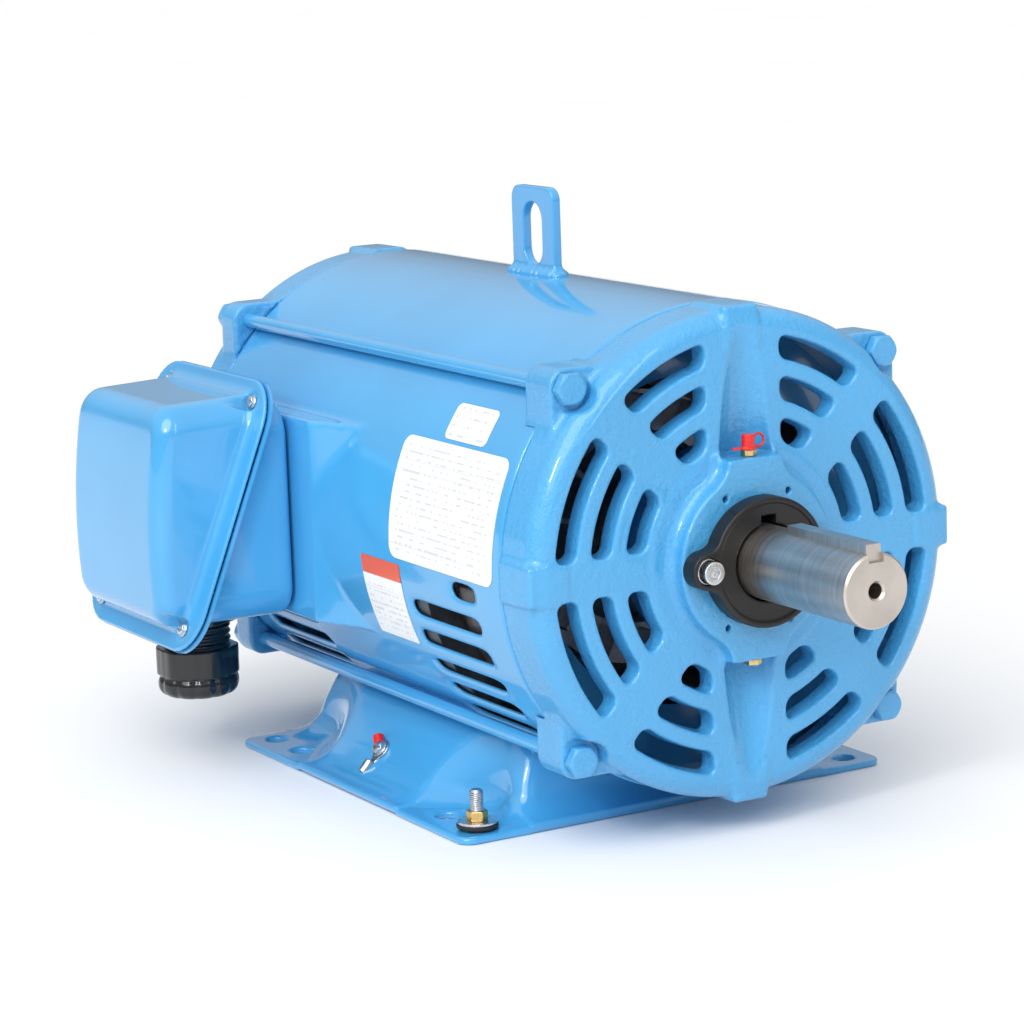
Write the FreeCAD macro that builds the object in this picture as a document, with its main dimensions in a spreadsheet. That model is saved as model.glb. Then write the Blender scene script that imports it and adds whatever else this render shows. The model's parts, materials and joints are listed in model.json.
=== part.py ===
import FreeCAD, Part
import math
import os
import Sketcher
from FreeCAD import Placement, Rotation, Vector

# Open drip-proof foot-mounted electric motor.
#
# Frame of the part: the origin is the centre of the foot-bolt pattern, on the plane the feet
# rest on.  +X points along the shaft to its driven end, +Z is up, and the conduit box is on
# the -Y side.  All round pieces turn about the shaft axis, which lies at z = shaft_height.

# ---------------------------------------------------------------- driving dimensions (mm)

DIMENSIONS = {
    # shaft and feet
    "shaft_height": 158.75,
    "foot_half_y": 127.0,            # foot holes, half spacing across the shaft
    "foot_outer_half_x": 127.0,      # outer foot holes, half spacing along the shaft
    "foot_inner_half_x": 92.0,       # inner foot holes, half spacing along the shaft
    "foot_hole_radius": 6.75,
    "shaft_radius": 20.6375,
    "shaft_end": 336.55,
    "key_side": 9.525,
    "keyseat_length": 73.9,
    "keyseat_floor": 15.3325,        # height of the keyseat's floor above the shaft axis
    "fit_gap": 0.1,                  # gap left between nested fixed pieces
    # frame
    "shell_radius": 139.5,
    "shell_wall": 4.0,
    "shell_rear": -187.0,
    "shell_front": 184.0,
    "boss_face": 141.0,              # flat boss that carries the conduit box, distance from axis
    "boss_half_height": 60.0,
    "boss_front": -36.0,
    "lead_hole_radius": 26.0,
    "louvre_length": 78.0,
    "louvre_height": 8.0,
    "louvre_middle": 113.0,          # centre of each louvre group from the motor's middle
    "short_louvre_length": 26.0,
    "short_louvre_middle": 139.0,
    # end shields
    "drive_face": 217.0,
    "rear_face": 225.0,
    "plate_wall": 7.0,
    "hub_stand": 11.0,               # how far each hub stands out of its plate
    "rear_hub_stand": 7.0,
    "hub_radius": 50.0,
    "hub_block_half": 18.0,
    "hub_block_reach": 57.0,
    "rim_radius": 138.5,
    "rim_rounding": 10.0,
    "rim_wall": 8.0,
    "spigot_length": 8.0,
    "bolt_offset": 103.08,           # through bolts, sideways and up from the axis
    "bolt_radius": 4.5,
    "bolt_lug_radius": 12.5,
    "bolt_seat_radius": 11.5,        # flat seat cut into the rim for each head and nut
    "drive_lug_back": 173.5,
    "drive_lug_front": 201.0,
    "rear_lug_depth": 20.0,
    "bolt_head_height": 6.5,
    "bolt_head_across": 17.0,
    "slot_width": 13.2,
    "slot_pitch": 22.2,
    "slot_first": 66.1,              # inner radius of the innermost slot row
    "rib_level_half": 10.5,
    "rib_upright_half": 24.5,
    "rib_slant_half": 11.8,
    # bearings
    "drive_bearing_bore": 22.5,
    "drive_bearing_outer": 50.0,
    "drive_bearing_width": 25.0,
    "drive_bearing_back": 182.0,
    "rear_bearing_bore": 20.0,
    "rear_bearing_outer": 40.0,
    "rear_bearing_width": 18.0,
    "rear_bearing_front": -190.0,
    # electric parts
    "stack_half": 88.0,
    "stator_bore": 82.2,
    "rotor_radius": 81.6,
    "rotor_shaft_radius": 27.0,
    "winding_reach": 150.0,
    "bar_radius": 4.0,
    "bar_circle": 72.0,
    # base
    "base_half_x": 143.0,
    "base_half_y": 145.3,
    "base_plate": 5.6,
    "base_wall": 4.0,
    "saddle_top": 60.0,
    # conduit box
    "box_middle_x": -131.0,
    "box_half_x": 72.0,
    "box_bottom": 97.0,
    "box_top": 228.0,
    "box_back": 142.5,
    "box_wall": 2.0,
    "box_corner": 20.0,
    "flange_half_x": 81.0,
    "flange_half_slope": 85.7,
    "flange_middle_y": -184.0,
    "flange_middle_z": 162.0,
    "flange_lean": 21.9,             # degrees that the cover plane leans from upright
    "flange_corner": 28.0,
    "cover_half_x": 65.0,
    "cover_bottom": 97.5,
    "cover_top": 232.0,
    "cover_face": 229.5,
    "cover_corner": 28.0,
    "cover_screw_across": 60.0,      # cover screws, from the middle of the leaning flange
    "cover_screw_up": 71.0,
    "gland_x": -133.0,
    "gland_y": -176.0,
    "gland_bottom": 41.0,
    "gland_bore": 13.0,
    # black cap on the drive hub
    "cap_face": 240.0,
    "cap_radius": 36.5,
    "cap_ear_offset": 40.0,
    "cap_ear_radius": 10.5,
    # lifting lug
    "lug_half_x": 24.0,
    "lug_wall": 6.0,
    "lug_top": 351.0,
    "lug_slot_half": 10.5,
    "lug_slot_bottom": 304.0,
    "lug_slot_top": 341.0,
    # labels
    "label_thickness": 0.3,
}

doc = FreeCAD.newDocument("electric_motor")
sheet = doc.addObject("Spreadsheet::Sheet", "Sizes")


class Size(float):
    """A number in millimetres that also carries its formula in the sheet's aliases."""

    def __new__(cls, value, formula=None):
        number = super().__new__(cls, value)
        number.formula = formula or "%.6g" % value
        return number

    def joined(self, other, sign, value):
        other = other if isinstance(other, Size) else Size(other)
        return Size(value, "(%s %s %s)" % (self.formula, sign, other.formula))

    def __add__(self, other):
        return self.joined(other, "+", float(self) + float(other))

    def __sub__(self, other):
        return self.joined(other, "-", float(self) - float(other))

    def __mul__(self, other):
        return self.joined(other, "*", float(self) * float(other))

    def __truediv__(self, other):
        return self.joined(other, "/", float(self) / float(other))

    def __neg__(self):
        return Size(-float(self), "(-1 * %s)" % self.formula)


class Sizes:
    """The sheet's values by name, such as S.shaft_height."""


S = Sizes()
for row, (alias, number) in enumerate(DIMENSIONS.items(), start=1):
    sheet.set("A%d" % row, alias)
    sheet.set("B%d" % row, "%.6g" % number)
    sheet.setAlias("B%d" % row, alias)
    setattr(S, alias, Size(number, "Sizes." + alias))
doc.recompute()

nodes = []


def bind(thing, name, number):
    """Set a property, and tie it to the sheet when the number came from there."""
    number = number if isinstance(number, Size) else Size(number)
    if "." not in name:
        setattr(thing, name, float(number))
    if "Sizes." in number.formula:
        thing.setExpression(name, number.formula)


def place(thing, x, y, z, rotation=None):
    """Put a piece at x, y, z, turned by rotation."""
    thing.Placement = Placement(Vector(float(x), float(y), float(z)), rotation or Rotation())
    for axis, number in (("x", x), ("y", y), ("z", z)):
        bind(thing, "Placement.Base." + axis, number)
    return thing


def node(thing, label):
    """Mark a document object as one of the motor's pieces."""
    thing.Label = label
    nodes.append(thing)
    return thing


ALONG_X = Rotation(Vector(0, 1, 0), 90)
ALONG_Y = Rotation(Vector(1, 0, 0), -90)
UPRIGHT = Rotation()

# ---------------------------------------------------------------- primitives and booleans


def cylinder(name, radius, length, x, y, z, rotation=UPRIGHT):
    """A cylinder that starts at x, y, z and runs along its turned Z axis."""
    made = doc.addObject("Part::Cylinder", name)
    bind(made, "Radius", radius)
    bind(made, "Height", length)
    return place(made, x, y, z, rotation)


def box(name, low, high):
    """A box between two corners, each a triple of sizes."""
    made = doc.addObject("Part::Box", name)
    for side, start, end in zip(("Length", "Width", "Height"), low, high):
        bind(made, side, Size(0) + end - start)
    return place(made, *low)


def hexagon(name, across, length, x, y, z, rotation=UPRIGHT):
    """A hexagonal prism, given across its flats."""
    made = doc.addObject("Part::Prism", name)
    made.Polygon = 6
    bind(made, "Circumradius", Size(0) + across / math.sqrt(3))
    bind(made, "Height", length)
    return place(made, x, y, z, rotation)


def fuse(name, pieces):
    made = doc.addObject("Part::MultiFuse", name)
    made.Shapes = pieces
    return made


def group(name, pieces):
    """Separate solids that share one node."""
    made = doc.addObject("Part::Compound", name)
    made.Links = pieces
    return made


def cut(name, base, *tools):
    """The base without its tools."""
    for number, tool in enumerate(tools):
        made = doc.addObject("Part::Cut", "%s_%d" % (name, number))
        made.Base, made.Tool = base, tool
        base = made
    return base


def round_edges(name, base, radius, chosen):
    """Round the straight edges of a box that run along the chosen local direction."""
    doc.recompute()
    edges = [number for number, edge in enumerate(base.Shape.Edges, start=1) if chosen(edge)]
    made = doc.addObject("Part::Fillet", name)
    made.Base = base
    made.Edges = [(number, float(radius), float(radius)) for number in edges]
    return made


def runs_along(axis):
    """A test for edges that run along one world axis: 0 for X, 1 for Y, 2 for Z."""
    def test(edge):
        if len(edge.Vertexes) < 2:
            return False
        way = edge.Vertexes[1].Point - edge.Vertexes[0].Point
        return way.Length > 0 and abs(way[axis]) / way.Length > 0.999
    return test


# ---------------------------------------------------------------- bodies from sketches


def base_plane(body, role):
    return next(plane for plane in body.Origin.OriginFeatures if plane.Role == role)


def new_sketch(body, name, role, offset=None):
    sketch = body.newObject("Sketcher::SketchObject", name)
    sketch.AttachmentSupport = [(base_plane(body, role), "")]
    sketch.MapMode = "FlatFace"
    if offset is not None:
        sketch.AttachmentOffset = Placement(Vector(0, 0, float(offset)), Rotation())
        bind(sketch, "AttachmentOffset.Base.z", offset)
    return sketch


def pin_point(sketch, edge, end, first, second):
    """Tie one end of an edge to its two coordinates."""
    for kind, axis, number in (("DistanceX", -2, first), ("DistanceY", -1, second)):
        number = number if isinstance(number, Size) else Size(number)
        if abs(number) < 1e-9:
            sketch.addConstraint(Sketcher.Constraint("PointOnObject", edge, end, axis))
            continue
        held = sketch.addConstraint(Sketcher.Constraint(kind, -1, 1, edge, end, float(number)))
        if "Sizes." in number.formula:
            sketch.setExpression("Constraints[%d]" % held, number.formula)


def outline(sketch, points):
    """A closed polygon, every corner tied to its coordinates."""
    first = sketch.GeometryCount
    count = len(points)
    for here, there in zip(points, points[1:] + points[:1]):
        start, end = (Vector(float(pair[0]), float(pair[1]), 0) for pair in (here, there))
        sketch.addGeometry(Part.LineSegment(start, end))
    for number in range(count):
        edge, following = first + number, first + (number + 1) % count
        sketch.addConstraint(Sketcher.Constraint("Coincident", edge, 2, following, 1))
    for number, (across, up) in enumerate(points):
        pin_point(sketch, first + number, 1, across, up)


def ring(sketch, centre, radius):
    """A circle tied to its centre and radius."""
    where = Vector(float(centre[0]), float(centre[1]), 0)
    made = sketch.addGeometry(Part.Circle(where, Vector(0, 0, 1), float(radius)))
    pin_point(sketch, made, 3, *centre)
    held = sketch.addConstraint(Sketcher.Constraint("Radius", made, float(radius)))
    if isinstance(radius, Size) and "Sizes." in radius.formula:
        sketch.setExpression("Constraints[%d]" % held, radius.formula)


def turned(name, outlines):
    """A body turned about the shaft axis from outlines of (x, radius) corners."""
    body = doc.addObject("PartDesign::Body", name)
    sketch = new_sketch(body, name + "_outline", "XY_Plane")
    for points in outlines:
        outline(sketch, points)
    turn = body.newObject("PartDesign::Revolution", name + "_turn")
    turn.Profile = sketch
    turn.ReferenceAxis = (sketch, ["H_Axis"])
    turn.Angle = 360
    sketch.Visibility = False
    place(body, 0, 0, S.shaft_height)
    doc.recompute()
    return body


def around(body, feature, count):
    """Repeat a feature of a body evenly round the shaft axis."""
    doc.recompute()
    pattern = body.newObject("PartDesign::PolarPattern", feature.Name + "_pattern")
    pattern.Originals = [feature]
    pattern.Axis = (base_plane(body, "X_Axis"), [""])
    pattern.Angle = 360
    pattern.Occurrences = count
    body.Tip = pattern
    doc.recompute()
    return pattern


def block_along_x(body, name, points, start, length, pocket=False):
    """Pad or pocket an outline of (y, z) corners from x = start along +X."""
    sketch = new_sketch(body, name + "_outline", "YZ_Plane", start)
    outline(sketch, points)
    feature = body.newObject("PartDesign::" + ("Pocket" if pocket else "Pad"), name)
    feature.Profile = sketch
    bind(feature, "Length", length)
    feature.Reversed = pocket
    sketch.Visibility = False
    doc.recompute()
    return feature


def tube(outer, inner, start, end):
    """Corners of a plain ring's section."""
    return [(start, inner), (start, outer), (end, outer), (end, inner)]


def axial(name, radius, start, length, y=0, z=0):
    """A cylinder along X, placed from the shaft axis."""
    return cylinder(name, radius, length, start, y, S.shaft_height + z, ALONG_X)


# ---------------------------------------------------------------- frame shell and its boss


LOUVRE_ROWS = 5
LOUVRE_PITCH = 7.9      # degrees round the shell from row to row
LOUVRE_FIRST = 14.0     # degrees below level of the topmost full row


def louvre_angle(side, step):
    """Angle from +Y of a louvre row, on the +Y side (1) or the -Y side (-1)."""
    below = LOUVRE_FIRST + LOUVRE_PITCH * step
    return -below if side > 0 else 180 + below


def louvre_opening(name, middle_x, length, angle):
    """A slot through the shell, level with the shaft, centred at an angle from +Y."""
    slot = doc.addObject("Part::Box", name)
    bind(slot, "Length", length)
    bind(slot, "Height", S.louvre_height)
    slot.Width = 30
    inward = Rotation(Vector(1, 0, 0), angle + 180)
    corner = inward.multVec(Vector(0, -float(S.shell_radius) - 8, -float(S.louvre_height) / 2))
    return place(slot, middle_x - length / 2, corner.y, S.shaft_height + corner.z, inward)


def make_frame_shell():
    length = S.shell_front - S.shell_rear
    outer = axial("shell_outer", S.shell_radius, S.shell_rear, length)
    boss = box("shell_boss",
               (S.shell_rear, -S.boss_face, S.shaft_height - S.boss_half_height),
               (S.boss_front, -S.boss_face + 40, S.shaft_height + S.boss_half_height))
    inside = axial("shell_inside", S.shell_radius - S.shell_wall, S.shell_rear - 1, length + 2)
    leads = cylinder("shell_lead_hole", S.lead_hole_radius, 60,
                     S.box_middle_x, -S.boss_face - 10, S.shaft_height, ALONG_Y)
    rows = []
    for end, side, first in ((1, -1, 0), (-1, -1, 2), (1, 1, 0), (-1, 1, 0)):
        rows += [(S.louvre_middle * end, S.louvre_length, louvre_angle(side, step))
                 for step in range(first, LOUVRE_ROWS)]
    rows.append((S.short_louvre_middle, S.short_louvre_length, louvre_angle(-1, -1)))
    openings = [louvre_opening("louvre_%d" % number, *row) for number, row in enumerate(rows)]
    louvres = group("louvre_openings", openings)
    body = fuse("shell_solid", [outer, boss])
    node(cut("shell_cut", body, inside, leads, louvres), "frame_shell")


def make_lifting_lug():
    plate = box("lug_plate", (-S.lug_half_x, -S.lug_wall / 2, S.shaft_height),
                (S.lug_half_x, S.lug_wall / 2, S.lug_top))
    plate = round_edges("lug_rounded", plate, 8, lambda edge: runs_along(1)(edge)
                        and edge.BoundBox.ZMin > float(S.lug_top) - 1)
    low = S.lug_slot_bottom + S.lug_slot_half
    high = S.lug_slot_top - S.lug_slot_half
    slot_middle = box("lug_slot_middle", (-S.lug_slot_half, -20, low),
                      (S.lug_slot_half, 20, high))
    slot_ends = [cylinder("lug_slot_end_%d" % number, S.lug_slot_half, 40, 0, -20, level, ALONG_Y)
                 for number, level in enumerate((low, high))]
    shell = axial("lug_seat", S.shell_radius, -40, 80)
    slot = fuse("lug_slot", [slot_middle] + slot_ends)
    node(cut("lug_cut", plate, shell, slot), "lifting_lug")


# ---------------------------------------------------------------- pressed steel base


def saddle_block(name, bottom_x, bottom_y, top_x, top_y, inset):
    """One tapered block of the saddle; inset shrinks it to make the hollow inside."""
    made = doc.addObject("Part::Wedge", name)
    made.Xmin, made.Xmax = -bottom_x + inset, bottom_x - inset
    made.Zmin, made.Zmax = -bottom_y + inset, bottom_y - inset
    made.X2min, made.X2max = -top_x + inset, top_x - inset
    made.Z2min, made.Z2max = -top_y + inset, top_y - inset
    made.Ymin = 0
    bind(made, "Ymax", S.saddle_top)
    return place(made, 0, 0, 0, Rotation(Vector(1, 0, 0), 90))


# where the ground screw sits on the sloping side of the saddle, and which way it faces
GROUND_SEAT = Vector(-8, -115.2, 20)
GROUND_WALL = Rotation(Vector(1, 0, 0), 90 - 41.5)


def make_motor_base():
    blocks = ((60, 127, 46, 78), (122, 100, 92, 66))
    outer = [saddle_block("saddle_%d" % number, *block, 0) for number, block in enumerate(blocks)]
    inner = [saddle_block("saddle_hollow_%d" % number, *block, float(S.base_wall))
             for number, block in enumerate(blocks)]
    plate = box("base_plate_solid", (-S.base_half_x, -S.base_half_y, 0),
                (S.base_half_x, S.base_half_y, S.base_plate))
    plate = round_edges("base_plate_rounded", plate, 8, runs_along(2))
    holes = []
    for half_x in (S.foot_outer_half_x, S.foot_inner_half_x):
        for side_x in (1, -1):
            for side_y in (1, -1):
                holes.append(cylinder("foot_hole_%d" % len(holes), S.foot_hole_radius, 20,
                                      half_x * side_x, S.foot_half_y * side_y, -5))
    holes.append(off_wall("Part::Cylinder", "ground_hole", -12, Radius=3, Height=16))
    solid = fuse("base_solid", [plate] + outer)
    hollow = fuse("base_hollow", inner)
    seat = axial("base_seat", S.shell_radius + S.fit_gap, -200, 400)
    node(cut("base_cut", solid, hollow, seat, group("foot_holes", holes)), "motor_base")


# ---------------------------------------------------------------- end shields


def is_rim_corner(edge, radius, face):
    """True for the circular edge where the rim meets the face."""
    circle = isinstance(edge.Curve, Part.Circle)
    return circle and abs(edge.Curve.Radius - radius) < 0.01 \
        and abs(edge.Curve.Center.x - face) < 0.01


def vent_slots(name, start, length):
    """Three rows of curved slots, parted by level, upright and slanting ribs."""
    rows = []
    for number in range(3):
        inner = S.slot_first + S.slot_pitch * number
        outside = axial("%s_row_%d_outer" % (name, number), inner + S.slot_width, start, length)
        inside = axial("%s_row_%d_inner" % (name, number), inner, start, length)
        rows.append(cut("%s_row_%d" % (name, number), outside, inside))
    ribs = []
    for number, (half, angle) in enumerate(((S.rib_level_half, 0), (S.rib_upright_half, 90),
                                            (S.rib_slant_half, 45), (S.rib_slant_half, -45))):
        rib = doc.addObject("Part::Box", "%s_rib_%d" % (name, number))
        bind(rib, "Length", length)
        rib.Width = 280
        bind(rib, "Height", half * 2)
        turn = Rotation(Vector(1, 0, 0), angle)
        corner = turn.multVec(Vector(0, -140, -float(half)))
        place(rib, start, corner.y, S.shaft_height + corner.z, turn)
        ribs.append(rib)
    return cut(name, fuse(name + "_rows", rows), fuse(name + "_ribs", ribs))


def make_end_shield(label, way, face, seam, stand, bearing_outer, bearing_inner_end, depth,
                    shaft_hole, lug_start, lug_end):
    """An end shield.  way is +1 at the driven end and -1 at the rear; the sizes along X are
    distances from the motor's middle, towards that end."""
    inner_rim = S.rim_radius - S.rim_wall
    web = bearing_inner_end + depth + 0.5
    front = face + stand
    section = [(seam - S.spigot_length, inner_rim),
               (seam - S.spigot_length, S.shell_radius - S.shell_wall - S.fit_gap),
               (seam, S.shell_radius - S.shell_wall - S.fit_gap),
               (seam, S.rim_radius), (face, S.rim_radius), (face, S.hub_radius),
               (front, S.hub_radius), (front, shaft_hole), (web, shaft_hole),
               (web, bearing_outer + 0.02), (bearing_inner_end - 2, bearing_outer + 0.02),
               (bearing_inner_end - 2, bearing_outer + 8), (face - S.plate_wall, bearing_outer + 8),
               (face - S.plate_wall, inner_rim)]
    body = turned(label + "_turned", [[(across * way, up) for across, up in section]])
    turn = body.Tip
    corners = ["Edge%d" % number for number, edge in enumerate(turn.Shape.Edges, start=1)
               if is_rim_corner(edge, float(S.rim_radius), way * float(face))]
    fillet = body.newObject("PartDesign::Fillet", label + "_rim_rounding")
    fillet.Base = (turn, corners)
    bind(fillet, "Radius", S.rim_rounding)
    doc.recompute()
    blocks, cutters = [], []
    low, high = sorted((face * way - S.plate_wall * way, front * way))
    for side in (1, -1):
        reach = sorted((S.hub_radius * 0.7 * side, S.hub_block_reach * side))
        blocks.append(box("%s_hub_block_%d" % (label, side),
                          (low, -S.hub_block_half, S.shaft_height + reach[0]),
                          (high, S.hub_block_half, S.shaft_height + reach[1])))
        floor_low, floor_high = sorted((face * way - 14 * way, face * way - 5 * way))
        level = sorted((S.hub_block_reach * side, (S.rim_radius - 4) * side))
        blocks.append(box("%s_scoop_floor_%d" % (label, side),
                          (floor_low, -S.hub_block_half, S.shaft_height + level[0]),
                          (floor_high, S.hub_block_half, S.shaft_height + level[1])))
        scoop_low, scoop_high = sorted((face * way - 8 * way, face * way + 1 * way))
        scoop = sorted((S.hub_block_reach * side, (S.rim_radius - 20) * side))
        cutters.append(box("%s_scoop_%d" % (label, side),
                           (scoop_low, -S.hub_block_half + 4, S.shaft_height + scoop[0]),
                           (scoop_high, S.hub_block_half - 4, S.shaft_height + scoop[1])))
    lug_low = sorted((lug_start * way, lug_end * way))[0]
    lugs, holes = [], []
    for side_y in (1, -1):
        for side_z in (1, -1):
            mark = "%s_%d_%d" % (label, side_y, side_z)
            across, up = S.bolt_offset * side_y, S.bolt_offset * side_z
            lugs.append(axial(mark + "_lug", S.bolt_lug_radius, lug_low, lug_end - lug_start,
                              across, up))
            holes.append(axial(mark + "_hole", S.bolt_radius + 0.5, lug_low - 5,
                               lug_end - lug_start + 10, across, up))
            seat_low = sorted((lug_end * way, (lug_end + 30) * way))[0]
            holes.append(axial(mark + "_seat", S.bolt_seat_radius, seat_low, 30, across, up))
    shell_low = sorted((seam * way, (seam - 40) * way))[0]
    shell_room = axial(label + "_shell_room", S.shell_radius + S.fit_gap, shell_low, 40)
    rim_room = axial(label + "_rim_room", S.rim_radius - 4,
                     sorted((seam * way, (face - 14) * way))[0], face - 14 - seam)
    trimmed = cut(label + "_lugs_trimmed", group(label + "_lugs", lugs), shell_room, rim_room)
    solid = fuse(label + "_solid", [body] + blocks + [trimmed])
    slots = vent_slots(label + "_slots", sorted((face * way - 20 * way, face * way + 5 * way))[0],
                       25)
    pieces = [fuse(label + "_bolt_holes", holes), slots] + cutters
    node(cut(label + "_cut", solid, *pieces), label)


# ---------------------------------------------------------------- bearings


def make_bearing(prefix, start, bore, outer, width, balls, ball_radius):
    """A deep-groove ball bearing: two races, and its balls in their cage."""
    pitch = (bore + outer) / 2
    middle = start + width / 2
    shoulder = ball_radius * 0.62
    groove = ball_radius + 0.15

    def groove_tool(name):
        made = doc.addObject("Part::Torus", name)
        bind(made, "Radius1", pitch)
        made.Radius2 = groove
        return place(made, middle, 0, S.shaft_height, ALONG_X)

    for name, large, small in (("outer_race", outer, pitch + shoulder),
                               ("inner_race", pitch - shoulder, bore)):
        solid = axial("%s_%s_solid" % (prefix, name), large, start, width)
        inside = axial("%s_%s_inside" % (prefix, name), small, start - 1, width + 2)
        node(cut("%s_%s_cut" % (prefix, name), solid, inside,
                 groove_tool("%s_%s_groove" % (prefix, name))), "%s_%s" % (prefix, name))
    spheres, pockets = [], []
    for number in range(balls):
        angle = 2 * math.pi * number / balls
        out = Vector(0, math.cos(angle), math.sin(angle))
        ball = doc.addObject("Part::Sphere", "%s_ball_%d" % (prefix, number))
        ball.Radius = ball_radius
        spheres.append(place(ball, middle, pitch * out.y, S.shaft_height + pitch * out.z))
        pockets.append(cylinder("%s_pocket_%d" % (prefix, number), ball_radius + 0.1, pitch + 5,
                                middle, 0, S.shaft_height, Rotation(Vector(0, 0, 1), out)))
    node(group(prefix + "_ball_set", spheres), prefix + "_balls")
    band = ball_radius + 1.6
    solid = axial(prefix + "_cage_solid", pitch + 1, middle - band, band * 2)
    inside = axial(prefix + "_cage_inside", pitch - 1, middle - band - 1, band * 2 + 2)
    node(cut(prefix + "_cage_cut", solid, inside, group(prefix + "_pockets", pockets)),
         prefix + "_cage")


# ---------------------------------------------------------------- stator and rotor


def make_stator():
    core = turned("stator_core_turned",
                  [tube(S.shell_radius - S.shell_wall - S.fit_gap, S.stator_bore,
                        -S.stack_half, S.stack_half)])
    slot = [(-3.6, 90), (3.6, 90), (3.6, 112), (-3.6, 112)]
    pocket = block_along_x(core, "stator_slot", slot, -S.stack_half - 1, S.stack_half * 2 + 2,
                           pocket=True)
    around(core, pocket, 36)
    node(core, "stator_core")
    head = [(S.stack_half + 2, 89), (S.stack_half + 2, 118), (S.stack_half + 20, 124),
            (S.winding_reach - 6, 124), (S.winding_reach, 116), (S.winding_reach, 98),
            (S.winding_reach - 8, 91)]
    other_head = [(-across, up) for across, up in head]
    winding = turned("winding_turned", [head, other_head])
    bar = [(-3.3, 90.4), (3.3, 90.4), (3.3, 111.6), (-3.3, 111.6)]
    pad = block_along_x(winding, "winding_bar", bar, -S.stack_half - 4, S.stack_half * 2 + 8)
    around(winding, pad, 36)
    node(winding, "stator_winding")


def make_rotor():
    core = turned("rotor_core_turned",
                  [tube(S.rotor_radius, S.rotor_shaft_radius + 0.02, -S.stack_half,
                        S.stack_half)])
    sketch = new_sketch(core, "rotor_bar_hole_outline", "YZ_Plane", -S.stack_half - 1)
    ring(sketch, (0, S.bar_circle), S.bar_radius + S.fit_gap)
    hole = core.newObject("PartDesign::Pocket", "rotor_bar_hole")
    hole.Profile = sketch
    bind(hole, "Length", S.stack_half * 2 + 2)
    hole.Reversed = True
    sketch.Visibility = False
    around(core, hole, 28)
    node(core, "rotor_core")

    ends = [tube(S.rotor_radius - 1, Size(57), S.stack_half, S.stack_half + 16),
            tube(S.rotor_radius - 1, Size(57), -S.stack_half - 16, -S.stack_half)]
    cage = turned("rotor_cage_turned", ends)
    sketch = new_sketch(cage, "rotor_bar_outline", "YZ_Plane", -S.stack_half - 1)
    ring(sketch, (0, S.bar_circle), S.bar_radius)
    bar = cage.newObject("PartDesign::Pad", "rotor_bar")
    bar.Profile = sketch
    bind(bar, "Length", S.stack_half * 2 + 2)
    sketch.Visibility = False
    around(cage, bar, 28)
    for number, start in enumerate((S.stack_half + 14, -S.stack_half - 36)):
        blade = block_along_x(cage, "fan_blade_%d" % number,
                              [(-1.5, 60), (1.5, 60), (1.5, 79), (-1.5, 79)], start, 22)
        around(cage, blade, 14)
    node(cage, "rotor_cage")


def make_shaft():
    rear = S.rear_bearing_front
    drive = S.drive_bearing_back
    drive_end = S.drive_bearing_back + S.drive_bearing_width
    steps = [(rear - S.rear_bearing_width, 0), (rear - S.rear_bearing_width, S.rear_bearing_bore),
             (rear, S.rear_bearing_bore), (rear, 25), (rear + 40, 25),
             (rear + 40, S.rotor_shaft_radius), (drive - 40, S.rotor_shaft_radius),
             (drive - 40, 26.5), (drive, 26.5), (drive, S.drive_bearing_bore),
             (drive_end, S.drive_bearing_bore), (drive_end, S.shaft_radius),
             (S.shaft_end - 1.2, S.shaft_radius), (S.shaft_end, S.shaft_radius - 1.2),
             (S.shaft_end, 5.6), (S.shaft_end - 1.4, 4.25), (S.shaft_end - 25, 4.25),
             (S.shaft_end - 28, 0)]
    turned_shaft = turned("shaft_turned", [steps])
    keyseat = box("keyseat",
                  (S.shaft_end - S.keyseat_length, -S.key_side / 2,
                   S.shaft_height + S.keyseat_floor),
                  (S.shaft_end + 5, S.key_side / 2, S.shaft_height + 40))
    node(cut("shaft_cut", turned_shaft, keyseat), "shaft")
    key = box("key_block",
              (S.shaft_end - S.keyseat_length, -S.key_side / 2, S.shaft_height + S.keyseat_floor),
              (S.shaft_end - 2.5, S.key_side / 2, S.shaft_height + S.keyseat_floor + S.key_side))
    node(key, "shaft_key")


def make_inner_trim():
    """Air baffles behind both end shields, and the rear bearing's wave spring."""
    for label, way, seam in (("drive_air_baffle", 1, S.shell_front),
                             ("rear_air_baffle", -1, -S.shell_rear)):
        reach = S.rim_radius - S.rim_wall - S.fit_gap
        section = [(seam - 3, reach - 1.5), (seam - 3, reach), (seam - 22, reach),
                   (seam - 30, 96), (seam - 28.5, 95), (seam - 21, reach - 1.5)]
        node(turned(label + "_turned", [[(across * way, up) for across, up in section]]), label)
    spring_start = S.rear_bearing_front - S.rear_bearing_width - 0.5
    node(turned("wave_spring_turned", [tube(S.rear_bearing_outer - 0.6, S.rear_bearing_outer - 6,
                                            spring_start, spring_start + 0.5)]), "wave_spring")


# ---------------------------------------------------------------- through bolts


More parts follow.
